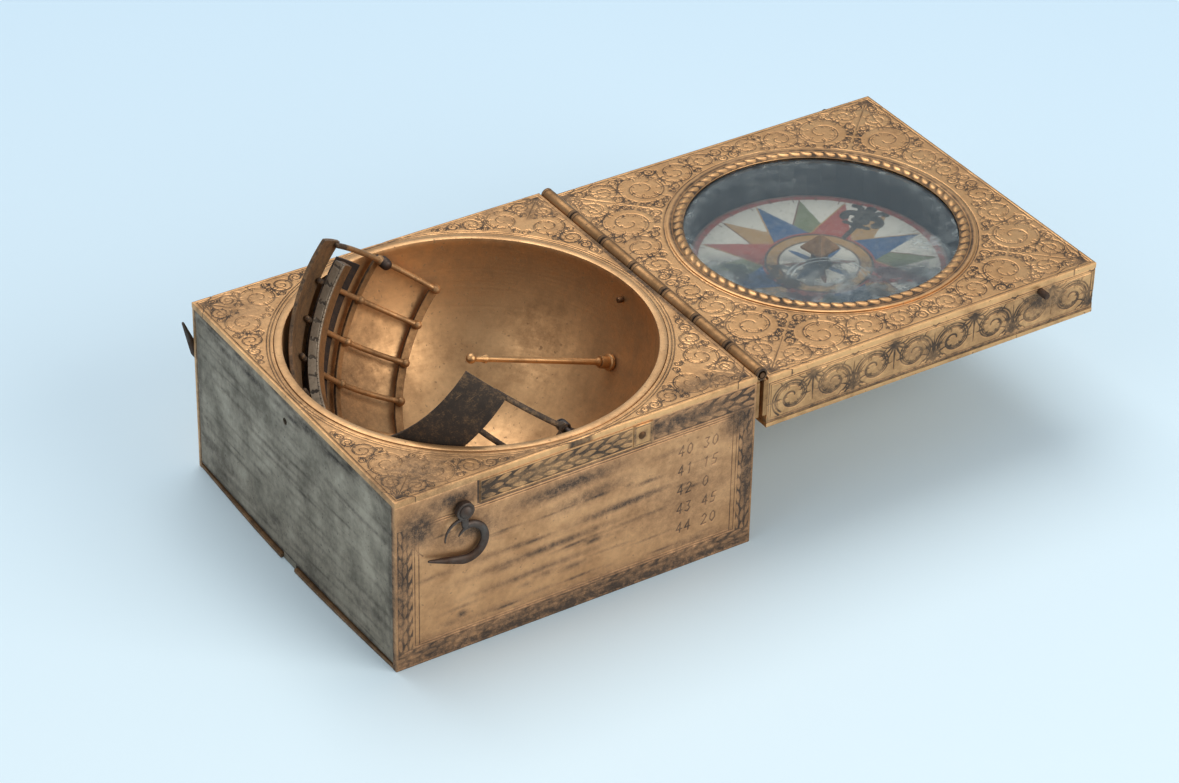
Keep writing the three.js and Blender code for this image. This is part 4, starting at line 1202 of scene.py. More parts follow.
class DIAL_OT_lid(bpy.types.Operator):
    """Builds the lid box: the engraved face round the compass, four walls, the back and two studs"""

    bl_idname = "dial.lid"
    bl_label = "Lid box"

    def execute(self, context):
        pitch, edge, depth, width = engraving(context)
        self.face(pitch, edge, depth, width)
        for name, node, facing in LID_WALLS:
            side = Face(*box_mm(node), facing, pitch, edge)
            wide = side.width
            paired_scrolls(side, 8, 0.8, width * 1.75)
            border(side, 0.3, width * 0.9)
            border(side, 0.68, width * 0.7)
            stud = wide - 11.3 if facing == "-y" else 8.0
            side.blots((
                (wide * 0.18, 3, 5, 3, 0.7), (wide * 0.47, 3.5, 8, 3, 0.65), (stud, 5.0, 4.6, 3.2, 1.0),
                (stud + 3, 4, 5, 3.4, 0.85), (wide / 2, 0.2, 80, 0.8, 0.9), (wide / 2, 4, 80, 9, 0.4),
            ))
            put_plate(name, side, depth, "lid", "engraved_gilt", node)
        plain_plate("lid_hinge_side", "lid_hinge_wall", "-x", "lid", "worn_gilt", edge)
        plain_plate("lid_back_sheet", "lid_back", "-z", "lid", "plain_gilt", edge)
        for node in ("lid_front_stud", "lid_rear_stud"):
            foot, axis, long, radius = side_peg(node)
            profile = [(0, 0), (radius, 0), (radius, long - 0.3), (radius * 0.8, long - 0.08), (0, long)]
            shell = turned(profile, 24, foot, axis)
            put_piece(node + "_turned", shell, "lid", "browned_brass", [node],
                      {"stain": np.full(len(shell[0]), 0.8)})
        return {"FINISHED"}

    def face(self, pitch, edge, depth, width):
        """The face round the compass: scrolls in the corners, ruled edges, a ring and drawn stains."""
        low, high = box_mm("lid_face")
        area = (high[0] - low[0]) * (high[1] - low[1]) - math.pi * LID_HOLE**2
        face = Face(low, high, "+z", fine_pitch(area, pitch), edge)
        centre = (face.width / 2, face.height / 2)
        strokes = spandrel_strokes(*centre, LID_HOLE + 2.35, 0.8, 4.4, 0.42, 46)
        cut_corners(face, strokes, width)
        border(face, 0.6, width * 0.8)
        face.line(arc_line(centre, LID_HOLE + 2.15, 0, 360, 200), width)
        draw = np.random.default_rng(LID_SEED)
        for turn, out in zip(draw.uniform(0, 2 * np.pi, 70), draw.uniform(25, 44, 70)):
            place = np.array(centre) + out * np.array([math.cos(turn), math.sin(turn)])
            face.blot(*place, *draw.uniform(0.6, 3.0, 2), draw.uniform(0.2, 0.62), draw.uniform(0, 3))
        face.blots((
            (4, 6, 6, 4, 0.35), (0.2, 31, 0.7, 34, 0.95), (30, 61, 18, 1.6, 0.4), (62.5, 36, 1.6, 9, 0.4),
        ))
        shell = holed_shell(face, depth, centre, LID_HOLE)
        put_piece("lid_face_engraved", shell, "lid", "engraved_gilt", ["lid_face"],
                  face.fields(shell))


BEZEL_INNER, BEAD_WIDTH = 22.4, 1.8
CARD_HOLE, CARD_TURNS, CARD_STEPS = 0.8, 720, 110
RAY_FOOT, RAY_TIP, RAY_HALF, RAY_FRINGE = 9.3, 19.9, 3.5, 0.28
MINOR_WAY, MAJOR_WAY = 19.5, 42
BORDER_END = 20.9
STAR_REACH, HUB_REACH = 6.2, 2.3
NORTH_WAY = math.radians(28)
CAP_REACH, CAP_NECK, CAP_RISE, CAP_WAY = 3.2, 2.7, 1.4, 57
BLOOM_RADIUS, BLOOM_TURNS, BLOOM_STEPS = 22.3, 360, 160
# Way, start and reach of the painted shade on the near side of the well.
NEAR_SHADE_WAY, NEAR_SHADE_START, NEAR_SHADE_REACH = (-0.548, -0.837), 6.2, 5
BLOOM_PATCHES = ((-5, -17, 7, 0.8), (13, -12, 6, 0.9), (2, 18, 8, 0.4), (-17, 3, 5, 0.5))
GLINT_CENTRE = (7.6, 12.9)
RED, OCHRE = (0.42, 0.07, 0.045, 1), (0.5, 0.29, 0.1, 1)
BLUE, GREEN = (0.03, 0.11, 0.28, 1), (0.2, 0.24, 0.12, 1)
INK, BROWN = (0.03, 0.027, 0.025, 1), (0.2, 0.075, 0.045, 1)
CARD_RINGS = ((8.9, RAY_FOOT, RED), (8.6, 8.9, INK), (7.0, 8.6, OCHRE), (6.7, 7.0, BROWN), (6.45, 6.7, INK))
SHOWN_SOLIDS = {"compass_well": "well_grey", "needle_post": "browned_brass", "compass_needle": "dark_iron",
                "compass_glass": "old_glass"}


def disc_grid(inner, outer, turns, steps):
    """Angles down the rows and radii along the columns of a disc."""
    turn = np.linspace(0, 2 * np.pi, turns, endpoint=False)[:, None]
    return turn, np.linspace(inner, outer, steps)[None, :]


def angle_from(turn, way):
    """The angle from a direction, between minus and plus half a turn."""
    return (turn - way + np.pi) % (2 * np.pi) - np.pi


class DIAL_OT_compass(bpy.types.Operator):
    """Builds the compass: the well, the painted card with its cap, the glass and the twisted ring"""

    bl_idname = "dial.compass"
    bl_label = "Compass"

    def execute(self, context):
        self.ring(context.scene.dial_sizes.rope_lobes)
        self.card(tuple(context.scene.dial_colours.paper))
        self.cap()
        for node, finish in SHOWN_SOLIDS.items():
            solid = frame["nodes"][node]
            solid.data.materials.clear()
            solid.data.materials.append(FINISH[finish])
        self.bloom()
        return {"FINISHED"}

    def ring(self, lobes):
        """A half-round bead: middle radius plus half the width times a cosine, height times a sine, sunk
        outside long slanted lens shapes that follow each other round it; a flat fillet lies outside
        it."""
        low, high = box_mm("compass_bezel")
        outer = (high[0] - low[0]) / 2
        foot, tall = low[2], high[2] - low[2]
        steps = lobes * 10
        turn = np.linspace(0, 2 * np.pi, steps, endpoint=False)[:, None]
        lean = np.linspace(0, np.pi, 20)[None, :]
        away = np.cos(lean)
        local = lobes * turn / (2 * np.pi) % 1.0 - 0.5
        lens = 0.03 + 0.72 * (1 - 4 * local**2)
        valley = np.clip((np.abs(away - local) / lens - 0.7) / 0.45, 0, 1)
        valley = valley * np.clip(np.sin(lean) * 2.5, 0, 1)
        radius = np.broadcast_to(BEZEL_INNER + BEAD_WIDTH / 2 + BEAD_WIDTH / 2 * away, valley.shape)
        height = foot + tall * np.sin(lean) * (0.95 - 0.4 * valley)
        fillet = np.array([[BEZEL_INNER, foot], [outer, foot], [outer, foot + 0.16],
                           [outer - 0.1, foot + 0.2], [outer - 0.75, foot + 0.2]])
        extra = np.broadcast_to(fillet[None], (steps,) + fillet.shape)
        loop = np.concatenate([extra, np.stack([radius, height], -1)[:, 1:-1]], axis=1)
        around = np.stack([np.cos(turn[:, 0]), np.sin(turn[:, 0])], -1)
        points = np.zeros(loop.shape[:2] + (3,))
        points[..., :2] = loop[..., :1] * around[:, None] + COMPASS_CENTRE[:2]
        points[..., 2] = loop[..., 1]
        groove = np.concatenate([np.zeros((steps, 4)), np.ones((steps, 1)), valley[:, 1:-1] * 0.9], axis=1)
        shell = (points.reshape(-1, 3), [grid_faces(steps, loop.shape[1], True, True)])
        put_piece("bezel_twisted", shell, "lid", "engraved_gilt", ["compass_bezel"],
                  {"groove": groove.ravel(), "edge": 0.4 * (1 - groove.ravel())})

    def card(self, paper):
        """The painted disc. Colours follow the radius and the angle: a red border, eight minor rays under
        eight major ones, each as wide as its nearness to its tip, a ring of bands and a small star inside
        it."""
        low, high = box_mm("compass_card")
        turn, radius = disc_grid(CARD_HOLE, (high[0] - low[0]) / 2, CARD_TURNS, CARD_STEPS)
        paint = np.empty((CARD_TURNS, CARD_STEPS, 4))
        paint[:] = paper

        def lay(where, colour):
            paint[np.broadcast_to(where, paint.shape[:2])] = colour

        foot = RAY_FOOT * math.cos(math.radians(20))
        minor = [(MINOR_WAY + 45 * k, (OCHRE, GREEN)[k % 2], BROWN) for k in range(8)]
        major = [(MAJOR_WAY + 45 * k, (RED, BLUE)[k % 2], OCHRE) for k in range(8)]
        for way, colour, fringe in minor + major:
            x = radius * np.cos(turn - math.radians(way))
            y = radius * np.sin(turn - math.radians(way))
            wide = RAY_HALF * (RAY_TIP - x) / (RAY_TIP - foot)
            ray = (x > foot) & (np.abs(y) < wide)
            lay(ray, colour)
            lay(ray & (y > wide - RAY_FRINGE), fringe)
        lay((radius > RAY_TIP) & (radius < BORDER_END), RED)
        lay(radius > BORDER_END, BROWN)
        for number in range(64):
            away = angle_from(turn, 2 * np.pi * number / 64)
            long = 1.0 if number % 4 == 0 else 0.4
            lay((np.abs(away) * radius < 0.09) & (radius > 20.0 - long) & (radius < 21.0), BROWN)
        for start, end, colour in CARD_RINGS:
            lay((radius > start) & (radius < end), colour)
        for number in range(8):
            away = angle_from(turn, np.radians(MINOR_WAY + 45 * number))
            point = (radius < STAR_REACH) & (np.abs(away) < np.radians(19) * (1 - radius / 6.5))
            lay(point, (BLUE, BROWN)[number % 2])
        lay(radius < HUB_REACH, INK)
        paint[self.north_mark(turn, radius)] = INK
        x = radius * np.cos(turn) + COMPASS_CENTRE[0]
        y = radius * np.sin(turn)
        top = np.stack([x, y, np.full(x.shape, high[2])], -1)
        under = top[:, [-1, 0]].copy()
        under[..., 2] = low[2]
        points = np.concatenate([under[:, 1:], top, under[:, :1]], axis=1)
        paint = np.concatenate([paint[:, :1], paint, paint[:, -1:]], axis=1)
        shell = (points.reshape(-1, 3), [grid_faces(CARD_TURNS, CARD_STEPS + 2, True, True)[:, ::-1]])
        put_piece("card_painted", shell, "card", "painted_paper", ["compass_card"],
                  {"paint": paint.reshape(-1, 4)})

    def north_mark(self, turn, radius):
        """Where a dark stem and three curled leaves point to north: the distance to their lines is less
        than a half width."""
        x = radius * np.cos(turn - NORTH_WAY)
        y = radius * np.sin(turn - NORTH_WAY)
        place = np.stack([x, y], -1)[:, :, None]
        lines = [(np.array([[9.4, 0], [15.0, 0]]), 0.5), (np.array([[14.0, 0], [19.4, 0]]), 0.95)]
        for side in (-1, 1):
            lines.append((arc_line((15.8, 1.9 * side), 1.25, -120 * side, 130 * side), 0.8))
            lines.append((arc_line((18.0, 2.5 * side), 1.2, -160 * side, 20 * side), 0.6))
            lines.append((leaf_line((13.2, 0.2 * side), 50 * side, 2.0, 50 * side), 0.5))
        mark = np.zeros(x.shape, bool)
        for points, half in lines:
            mark |= line_gap(place, points)[0].min(-1) < half
        return mark

    def cap(self):
        """The four-sided cap on a round neck, from its CAD box, with slightly rounded edges."""
        low, high = box_mm("needle_cap")
        centre = (low + high) / 2
        shoulder, top = low[2] + CAP_NECK, high[2] + CAP_RISE
        neck = [(0.8, low[2]), (1.4, low[2]), (1.4, shoulder), (0.8, shoulder)]
        neck = turned(neck, 28, (centre[0], centre[1], 0), closed=True)
        turn = np.radians(CAP_WAY + np.arange(4) * 90)
        ring = np.stack([np.cos(turn), np.sin(turn)], -1)
        sizes = np.array([[0.8, shoulder], [CAP_REACH - 0.1, shoulder], [CAP_REACH, shoulder + 0.08],
                          [CAP_REACH, shoulder + 0.45], [0.3, top - 0.06], [0.2, top], [0, top]])
        following = np.roll(ring, -1, 0)
        sides = [ring * (1 - share) + following * share for share in (0.0, 0.04, 0.5, 0.96)]
        corners = np.concatenate(sides, 1).reshape(-1, 2)
        points = np.zeros((len(corners), len(sizes), 3))
        points[..., :2] = corners[:, None] * sizes[None, :, :1] + centre[:2]
        points[..., 2] = sizes[:, 1]
        roof = (points.reshape(-1, 3), [grid_faces(len(corners), len(sizes), True)])
        shell = join_shells([neck, roof])
        # The neck is darkened as painted shade under the cap's roof.
        stain = np.where(shell[0][:, 2] < shoulder + 0.01, 0.95, 0.2)
        put_piece("cap_filed", shell, "card", "worn_gilt", ["needle_cap"], {"stain": stain})

    def bloom(self):
        """A thin veil under the glass; its thickness follows the radius and four soft patches, a dark
        painted shade grows towards the near side, and two fine pale arcs of painted reflection lie on it,
        on the side away from the camera."""
        turn, radius = disc_grid(0, BLOOM_RADIUS, BLOOM_TURNS, BLOOM_STEPS)
        x, y = radius * np.cos(turn), radius * np.sin(turn)
        veil = 0.9 * np.clip((radius - 18.5) / 4, 0, 1) + np.zeros(turn.shape)
        for px, py, size, amount in BLOOM_PATCHES:
            veil = np.maximum(veil, amount * np.exp(-((x - px) ** 2 + (y - py) ** 2) / size**2))
        # The glint arcs are painted reflection, shown only on the side away from the camera.
        glint_x, glint_y = x + GLINT_CENTRE[0], y + GLINT_CENTRE[1]
        from_glint = np.hypot(glint_x, glint_y)
        ahead = np.clip((VIEW_AWAY[0] * glint_x + VIEW_AWAY[1] * glint_y) / 2, 0, 1)
        glint = sum(fading(np.abs(from_glint - arc), 0.22) for arc in (6.8, 6.0)) * ahead
        near = NEAR_SHADE_WAY[0] * x + NEAR_SHADE_WAY[1] * y
        near_shade = np.clip((near - NEAR_SHADE_START) / NEAR_SHADE_REACH, 0, 1)
        level = box_mm("compass_glass")[0][2] - 0.03
        points = np.stack([x + COMPASS_CENTRE[0], y, np.full(x.shape, level)], -1)
        shell = (points.reshape(-1, 3), [grid_faces(BLOOM_TURNS, BLOOM_STEPS, True)[:, ::-1]])
        put_piece("glass_bloom_film", shell, "lid", "glass_bloom", (),
                  {"stain": veil.ravel(), "edge": 0.8 * glint.ravel(), "groove": near_shade.ravel()})


HOOK_CENTRE, HOOK_INNER, HOOK_BAND = np.array([0.4, -5.8]), 2.3, 1.6
HOOK_RISE, PRONG_LENGTH = math.radians(12), 6.3
HOOK_EYE = [(0.85, -0.5), (1.4, -0.5), (1.5, -0.4), (1.5, 0.4), (1.4, 0.5), (0.85, 0.5)]
RIVET_HEAD, RIVET_DOME, RIVET_SHANK = 1.1, 0.55, 0.55


class DIAL_OT_hooks(bpy.types.Operator):
    """Forges the two catch hooks and their rivets"""

    bl_idname = "dial.hooks"
    bl_label = "Hooks"

    def execute(self, context):
        sides = context.scene.dial_sizes.rod_sides
        for name, turn in (("front", 0.0), ("rear", 55.0)):
            joint = next(j for j in frame["joints"] if j["name"] == name + "_hook_turn")
            low, high = box_mm(name + "_hook")
            pivot = np.array(joint["pos_m"]) / MM
            self.hook(name, (pivot[0], (low[1] + high[1]) / 2, pivot[2]), math.radians(turn), sides)
            self.rivet(name)
        return {"FINISHED"}

    def hook(self, name, eye, turn, sides):
        """A flat round-edged bar along a path: down from the eye, round an open curve and out to a long
        point whose centre line closes in on the inner edge. A thin curl leaves its neck and a short barb
        the start of its curve."""
        middle = HOOK_INNER + HOOK_BAND / 2
        bed = np.array([-math.sin(HOOK_RISE), -math.cos(HOOK_RISE)])
        ahead = np.array([-math.cos(HOOK_RISE), math.sin(HOOK_RISE)])
        curve = arc_line(HOOK_CENTRE, middle, 96, -90 - math.degrees(HOOK_RISE), 40)
        neck = np.linspace((0.0, -1.2), curve[0] + [0, 0.1], 6)[:-1]
        share = np.linspace(0.04, 1, 18)[:, None]
        sunk = HOOK_INNER + HOOK_BAND / 2 * (1 - share) + 0.25 * share
        prong = HOOK_CENTRE + bed * sunk + ahead * PRONG_LENGTH * share
        path = np.concatenate([neck, curve, prong])
        high = np.concatenate([np.full(len(neck), 0.62), np.linspace(0.6, 0.8, len(curve)),
                               np.linspace(0.78, 0.2, len(prong))])
        curl = leaf_line((-0.4, -1.4), 185, 5.0, 88, 16)
        barb = leaf_line((1.0, -3.0), 190, 2.6, 50, 12)
        spin = np.array([[math.cos(turn), math.sin(turn)], [-math.sin(turn), math.cos(turn)]])

        def placed(line):
            flat = line @ spin.T
            return np.stack([eye[0] + flat[:, 0], np.full(len(flat), eye[1]), eye[2] + flat[:, 1]], -1)

        shells = [swept(placed(path), (0, 1, 0), np.minimum(0.5, high), high, sides)]
        for line, thick, thin in ((curl, 0.3, 0.12), (barb, 0.42, 0.1)):
            half = np.linspace(thick, thin, len(line))
            shells.append(swept(placed(line), (0, 1, 0), half, half, 10))
        shells.append(turned(HOOK_EYE, 40, eye, (0, 1, 0), True))
        node = name + "_hook"
        put_piece(node + "_forged", join_shells(shells), node, "dark_iron", [node])

    def rivet(self, name):
        """A shank with a domed head, turned along Y."""
        node = name + "_hook_rivet"
        foot, axis, long, _ = side_peg(node)
        neck = long - RIVET_DOME
        head = np.radians(np.linspace(0, 90, 7))
        dome = np.stack([RIVET_HEAD * np.cos(head), neck + RIVET_DOME * np.sin(head)], -1)
        profile = np.concatenate([[(0, 0), (RIVET_SHANK, 0), (RIVET_SHANK, neck)], dome])
        shell = turned(profile, 28, foot, axis)
        put_piece(name + "_rivet_domed", shell, "case", "dark_iron", [node])


CAGE_TILT = math.radians(38.8)
RAIL_OUTER, RAIL_INNER = 28.2, 27.6
RAIL_TOP, RAIL_HALF = -0.65, 1.4
TROPIC = -23.4
RUNGS, RUNG_SPHERE, RUNG_RADIUS = 13, 27.05, 0.45
KNOB_SPHERE, KNOB_DECLINATIONS = 27.5, (TROPIC, 1.4)
KNOB = [(0, 0), (0.75, 0), (0.75, 0.55), (0.62, 0.95), (0.4, 1.2), (0, 1.3)]
KNOT_LENGTH = 1.4
KNOT = [(0.65, 0), (0.85, 0), (0.95, 0.15), (0.95, 1.25), (0.85, KNOT_LENGTH), (0.65, KNOT_LENGTH)]
PIN_HEAD = [(0, 0), (0.4, 0.04), (0.7, 0.18), (0.88, 0.42), (0.9, 0.62)]
PIN_DOME = 0.45
SCALE_OUTER, SCALE_INNER = 26.5, 24.8
SCALE_START, SCALE_END = 19.5, 26.0
SCALE_TOP, SCALE_LAST = -2.2, 150.0
SCALE_FACE = SCALE_END - 1.2
SCALE_RULE = 1.38
# The last column is the least darkening; the hour band's near-black is painted shade of the dark gap
# between the scale and the equator rail.
CAGE_BANDS = (
    ("tropic_rail", TROPIC - RAIL_HALF, TROPIC + RAIL_HALF, RAIL_TOP, None, "gilt_brass", "worn_gilt", 0.3),
    ("equator_rail", 0.2, 2.6, RAIL_TOP, None, "gilt_brass", "worn_gilt", 0.3),
    ("hour_band", 7.2, 20.0, SCALE_TOP, SCALE_LAST, "dark_brass", "browned_brass", 0.95),
    ("north_band", 25.2, 40.3, 0.45, None, "dark_brass", "worn_gilt", 0.7),
)


def cage_place(radius, declination, hour):
    """A point of the raised cage: radius by declination north of its equator and hour angle from the
    pivot, in degrees, tilted about the pivots and lifted to the bowl's centre."""
    radius, declination, hour = np.broadcast_arrays(radius, np.radians(declination), np.radians(hour))
    ring = radius * np.cos(declination)
    x, y, z = -radius * np.sin(declination), ring * np.cos(hour), -ring * np.sin(hour)
    turned_x = x * math.cos(CAGE_TILT) + z * math.sin(CAGE_TILT)
    turned_z = -x * math.sin(CAGE_TILT) + z * math.cos(CAGE_TILT)
    return np.stack([turned_x, y, turned_z], -1) + BOWL_CENTRE


def band_shell(inner, outer, start, end, top, last=None, edge=0.1, steps=240, across=8, north=2):
    """A curved band: a section with chamfered edges between two spheres and two declinations, carried
    round the hour angle from the level of its top to the last hour, or to the same level again. Gives the
    shell, the section's radius and declination, and the hour of each point."""
    slip = math.degrees(edge / outer)
    wide = np.linspace(start + slip, end - slip, across)
    north_side = np.linspace(outer - edge, inner + edge, north)
    section = np.concatenate([
        [[outer - edge, start]], np.stack([np.full(across, outer), wide], -1),
        np.stack([north_side, np.full(north, end)], -1),
        np.stack([np.full(across, inner), wide[::-1]], -1), [[inner + edge, start]],
    ])
    reach = outer * np.cos(np.radians(section[:, 1]))
    first = np.degrees(np.arcsin(np.clip(-top / reach, -1, 1)))
    final = 180 - first if last is None else last
    share = np.linspace(0, 1, steps)[:, None]
    hour = first + share * (final - first)
    points = cage_place(section[None, :, 0], section[None, :, 1], hour)
    count = len(section)
    caps = np.array([np.arange(count)[::-1], (steps - 1) * count + np.arange(count)])
    return (points.reshape(-1, 3), [grid_faces(steps, count, False, True), caps]), section, hour


class DIAL_OT_cage(bpy.types.Operator):
    """Bends the hour cage, its rails, bands, silvered hour scale and thirteen rungs, and turns its pins"""

    bl_idname = "dial.cage"
    bl_label = "Hour cage"

    def execute(self, context):
        for node, start, end, top, last, slot, finish, least in CAGE_BANDS:
            shell, section, hour = band_shell(RAIL_INNER, RAIL_OUTER, start, end, top, last)
            edges = np.minimum(section[:, 1] - start, end - section[:, 1]) * math.radians(1) * RAIL_OUTER
            # The bands' cut edges are darkened as painted shade of the narrow gaps beside them.
            stain = np.maximum(self.age(hour, least), 0.85 * (edges < 0.06))
            rubbed = np.tile(fading(edges, 0.3) * (edges > 0.06), len(hour))
            fields = {"stain": stain.ravel(), "edge": rubbed}
            put_piece(node + "_bent", shell, "cage", finish, [node], fields)
        self.scale()
        for number in range(RUNGS):
            self.rung(number, context.scene.dial_sizes.rod_sides)
        for node in ("pivot_pin_back", "pivot_pin_front"):
            foot, axis, long, radius = side_peg(node)
            top = long + PIN_DOME
            profile = PIN_HEAD + [(radius, PIN_HEAD[-1][1]), (radius, top), (0, top)]
            shell = turned(profile, 24, foot - PIN_DOME * axis, axis)
            put_piece(node + "_turned", shell, "case", "dark_iron", [node])
        return {"FINISHED"}

    def age(self, hour, least):
        """How dark the cage is: least at the back pivot, and fully dark past the lowest hour, which is
        painted shade of the front half turned away from the light.
        """
        return least + (1 - least) * np.clip((np.asarray(hour) - 95) / 30, 0, 1)

    def scale(self):
        """The hour scale: a brass body and a silvered face to the north, with figures and strokes cut in
        it. The cut is a field of the way along the hours and the way in from the outer edge."""
        body, _, hour = band_shell(SCALE_INNER + 0.05, SCALE_OUTER - 0.05, SCALE_START, SCALE_FACE + 0.1,
                                   SCALE_TOP, SCALE_LAST)
        put_piece("hour_scale_body", body, "cage", "worn_gilt", (),
                  {"stain": self.age(hour, 0.4).ravel()})
        shell, section, hour = band_shell(SCALE_INNER, SCALE_OUTER, SCALE_FACE, SCALE_END, SCALE_TOP,
                                          SCALE_LAST, 0.08, 860, 4, 26)
        middle = (SCALE_INNER + SCALE_OUTER) / 2 * math.cos(math.radians(SCALE_END))
        on_north = section[:, 1] > SCALE_END - 0.01
        along = np.radians(hour) * middle
        inward = np.broadcast_to(SCALE_OUTER - section[None, :, 0], hour.shape)
        spot = np.stack([along, inward], -1)[:, :, None]
        cut = fading(np.abs(inward - SCALE_RULE), 0.07)
        for number in range(1, 80):
            place = math.radians(1.875 * number) * middle
            cut = np.maximum(cut, np.clip(1 - ((along - place) / 0.09) ** 2, 0, 1) * (inward > SCALE_RULE))
        for number in range(1, 19):
            text = str(number)
            place = math.radians(7.5 * number) * middle
            for stroke in figure_strokes(text, (place - 0.5 * len(text), 0.16), 1.1):
                gap = line_gap(spot, stroke)[0].min(-1)
                cut = np.maximum(cut, np.clip(1.3 - (gap / 0.2) ** 2, 0, 1))
        cut = cut * on_north
        depth = 0.06 * cut[..., None] * (cage_place(1.0, SCALE_END + 90, hour) - BOWL_CENTRE)
        shell = (shell[0] - depth.reshape(-1, 3), shell[1])
        edge = 0.5 * fading(np.abs(inward - 1.7), 0.2)
        fields = {"groove": cut.ravel(), "stain": np.full(cut.size, 0.35), "edge": edge.ravel()}
        put_piece("hour_scale_cut", shell, "cage", "scale_silver", ["hour_scale"], fields)

    def rung(self, number, sides):
        """A bent wire along declination on one hour angle, with a domed rivet on each rail, and an iron
        knot round each pivot."""
        name = f"hour_rung_{number + 1:02d}"
        hour = 180 * number / (RUNGS - 1)
        path = cage_place(RUNG_SPHERE, np.linspace(-24.6, 29.5, 36), hour)
        normal = np.cross(path[1] - path[0], path[-1] - path[0])
        shells = [swept(path, normal, RUNG_RADIUS, RUNG_RADIUS, sides)]
        for declination in KNOB_DECLINATIONS:
            foot = cage_place(KNOB_SPHERE, declination, hour)
            shells.append(turned(KNOB, 20, foot, BOWL_CENTRE - foot))
        if number in (0, RUNGS - 1):
            side = 1 if number == 0 else -1
            foot = BOWL_CENTRE + [0, side * (KNOB_SPHERE - KNOT_LENGTH), 0]
            knot = turned(KNOT, 28, foot, (0, side, 0), True)
            put_piece(name + "_knot", knot, "cage", "dark_iron")
        shell = join_shells(shells)
        away = (shell[0] - BOWL_CENTRE) / np.linalg.norm(shell[0] - BOWL_CENTRE, axis=1)[:, None]
        pole = cage_place(1.0, 90.0, 0.0) - BOWL_CENTRE
        declination = np.degrees(np.arcsin(np.clip(away @ np.ravel(pole), -1, 1)))
        # North of declination 18 the rung is darkened as painted shade where its ends lie under the north
        # band.
        stain = np.maximum(self.age(hour, 0.45), np.clip((declination - 18) / 5, 0, 1))
        put_piece(name + "_bent", shell, "cage", "plain_gilt", [name], {"stain": stain})


GNOMON_FALL, TIP_DROP, TIP_BALL = math.radians(26), 3.0, 0.85
PIN_FOOT = [(0, 0.95), (0.5, 0.95), (0.5, 2.55), (0.72, 2.6), (0.75, 2.75), (0.66, 3.0), (0.5, 3.35)]
PIN_NECK = [(0.5, 2.9), (0.74, 2.8), (0.7, 2.45), (0.5, 2.05), (0.5, 0.7)]
SOCKET = [(0, 0.3), (1.28, 0.3), (1.35, 0.38), (1.35, 0.8), (1.25, 0.9), (1.02, 0.95)]
SOCKET += [(1.0, 1.3), (1.05, 2.3), (0.98, 2.5), (0.7, 2.5), (0.7, 0.9), (0, 0.9)]
PEG = [(0, 0), (0.5, 0), (0.5, 0.6), (0.42, 0.82), (0.2, 0.9), (0, 0.9)]
PEG_FALL, PEG_ASIDE, PEG_SEAT = math.radians(5), 1.5, 0.15


class DIAL_OT_gnomon(bpy.types.Operator):
    """Turns the gnomon pin and its socket, and the small peg at the rim"""

    bl_idname = "dial.gnomon"
    bl_label = "Gnomon"

    def execute(self, context):
        foot = BOWL_CENTRE + BOWL_INNER * np.array([math.cos(GNOMON_FALL), 0, -math.sin(GNOMON_FALL)])
        tip = BOWL_CENTRE - [0, 0, TIP_DROP]
        long = np.linalg.norm(tip - foot)
        ball = np.radians(np.linspace(-54, 90, 14))
        pin = PIN_FOOT + [(radius, long - below) for radius, below in PIN_NECK]
        pin += [(TIP_BALL * math.cos(a), long + TIP_BALL * math.sin(a)) for a in ball]
        for name, profile in (("gnomon_pin", pin), ("gnomon_socket", SOCKET)):
            shell = turned(profile, 32, foot, tip - foot)
            put_piece(name + "_turned", shell, "case", "plain_gilt", [name])
        way = np.array([math.cos(PEG_FALL), 0, -math.sin(PEG_FALL)])
        surface = math.sqrt(BOWL_INNER**2 - PEG_ASIDE**2) - PEG_SEAT
        start = BOWL_CENTRE + [0, PEG_ASIDE, 0] + way * surface
        shell = turned(PEG, 20, start, -way)
        put_piece("rim_peg_turned", shell, "case", "browned_brass", ["rim_peg"])
        return {"FINISHED"}


LAMP_AIM = Vector((0.03, 0, 0.02))
LAMPS = (
    ("key_lamp", (0.1, 0.35, 0.85), 0.7, 4.6, (1.0, 0.97, 0.93)),
    ("front_lamp", (0.45, -0.8, 0.45), 0.7, 6.0, (1.0, 0.96, 0.9)),
    ("left_lamp", (-0.8, -0.1, 0.5), 0.6, 1.3, (1.0, 0.96, 0.9)),
)
FLOOR_START, FLOOR_END, FLOOR_BEND, FLOOR_TOP = -2.5, 2.2, 1.2, 3.0
FLOOR_ROWS, FLOOR_COLUMNS = 30, 24
CAMERA_PLACE = (-0.2597026, -0.4302536, 0.3623867)
CAMERA_RIGHT = Vector((0.842883, -0.537814, 0.01745))
CAMERA_DOWN = Vector((-0.289771, -0.480988, -0.827456))
CAMERA_AHEAD = Vector((0.45341, 0.692392, -0.561259))
SENSOR_WIDTH, FOCAL_PIXELS, PICTURE_PIXELS = 36.0, 3896.53, 1179


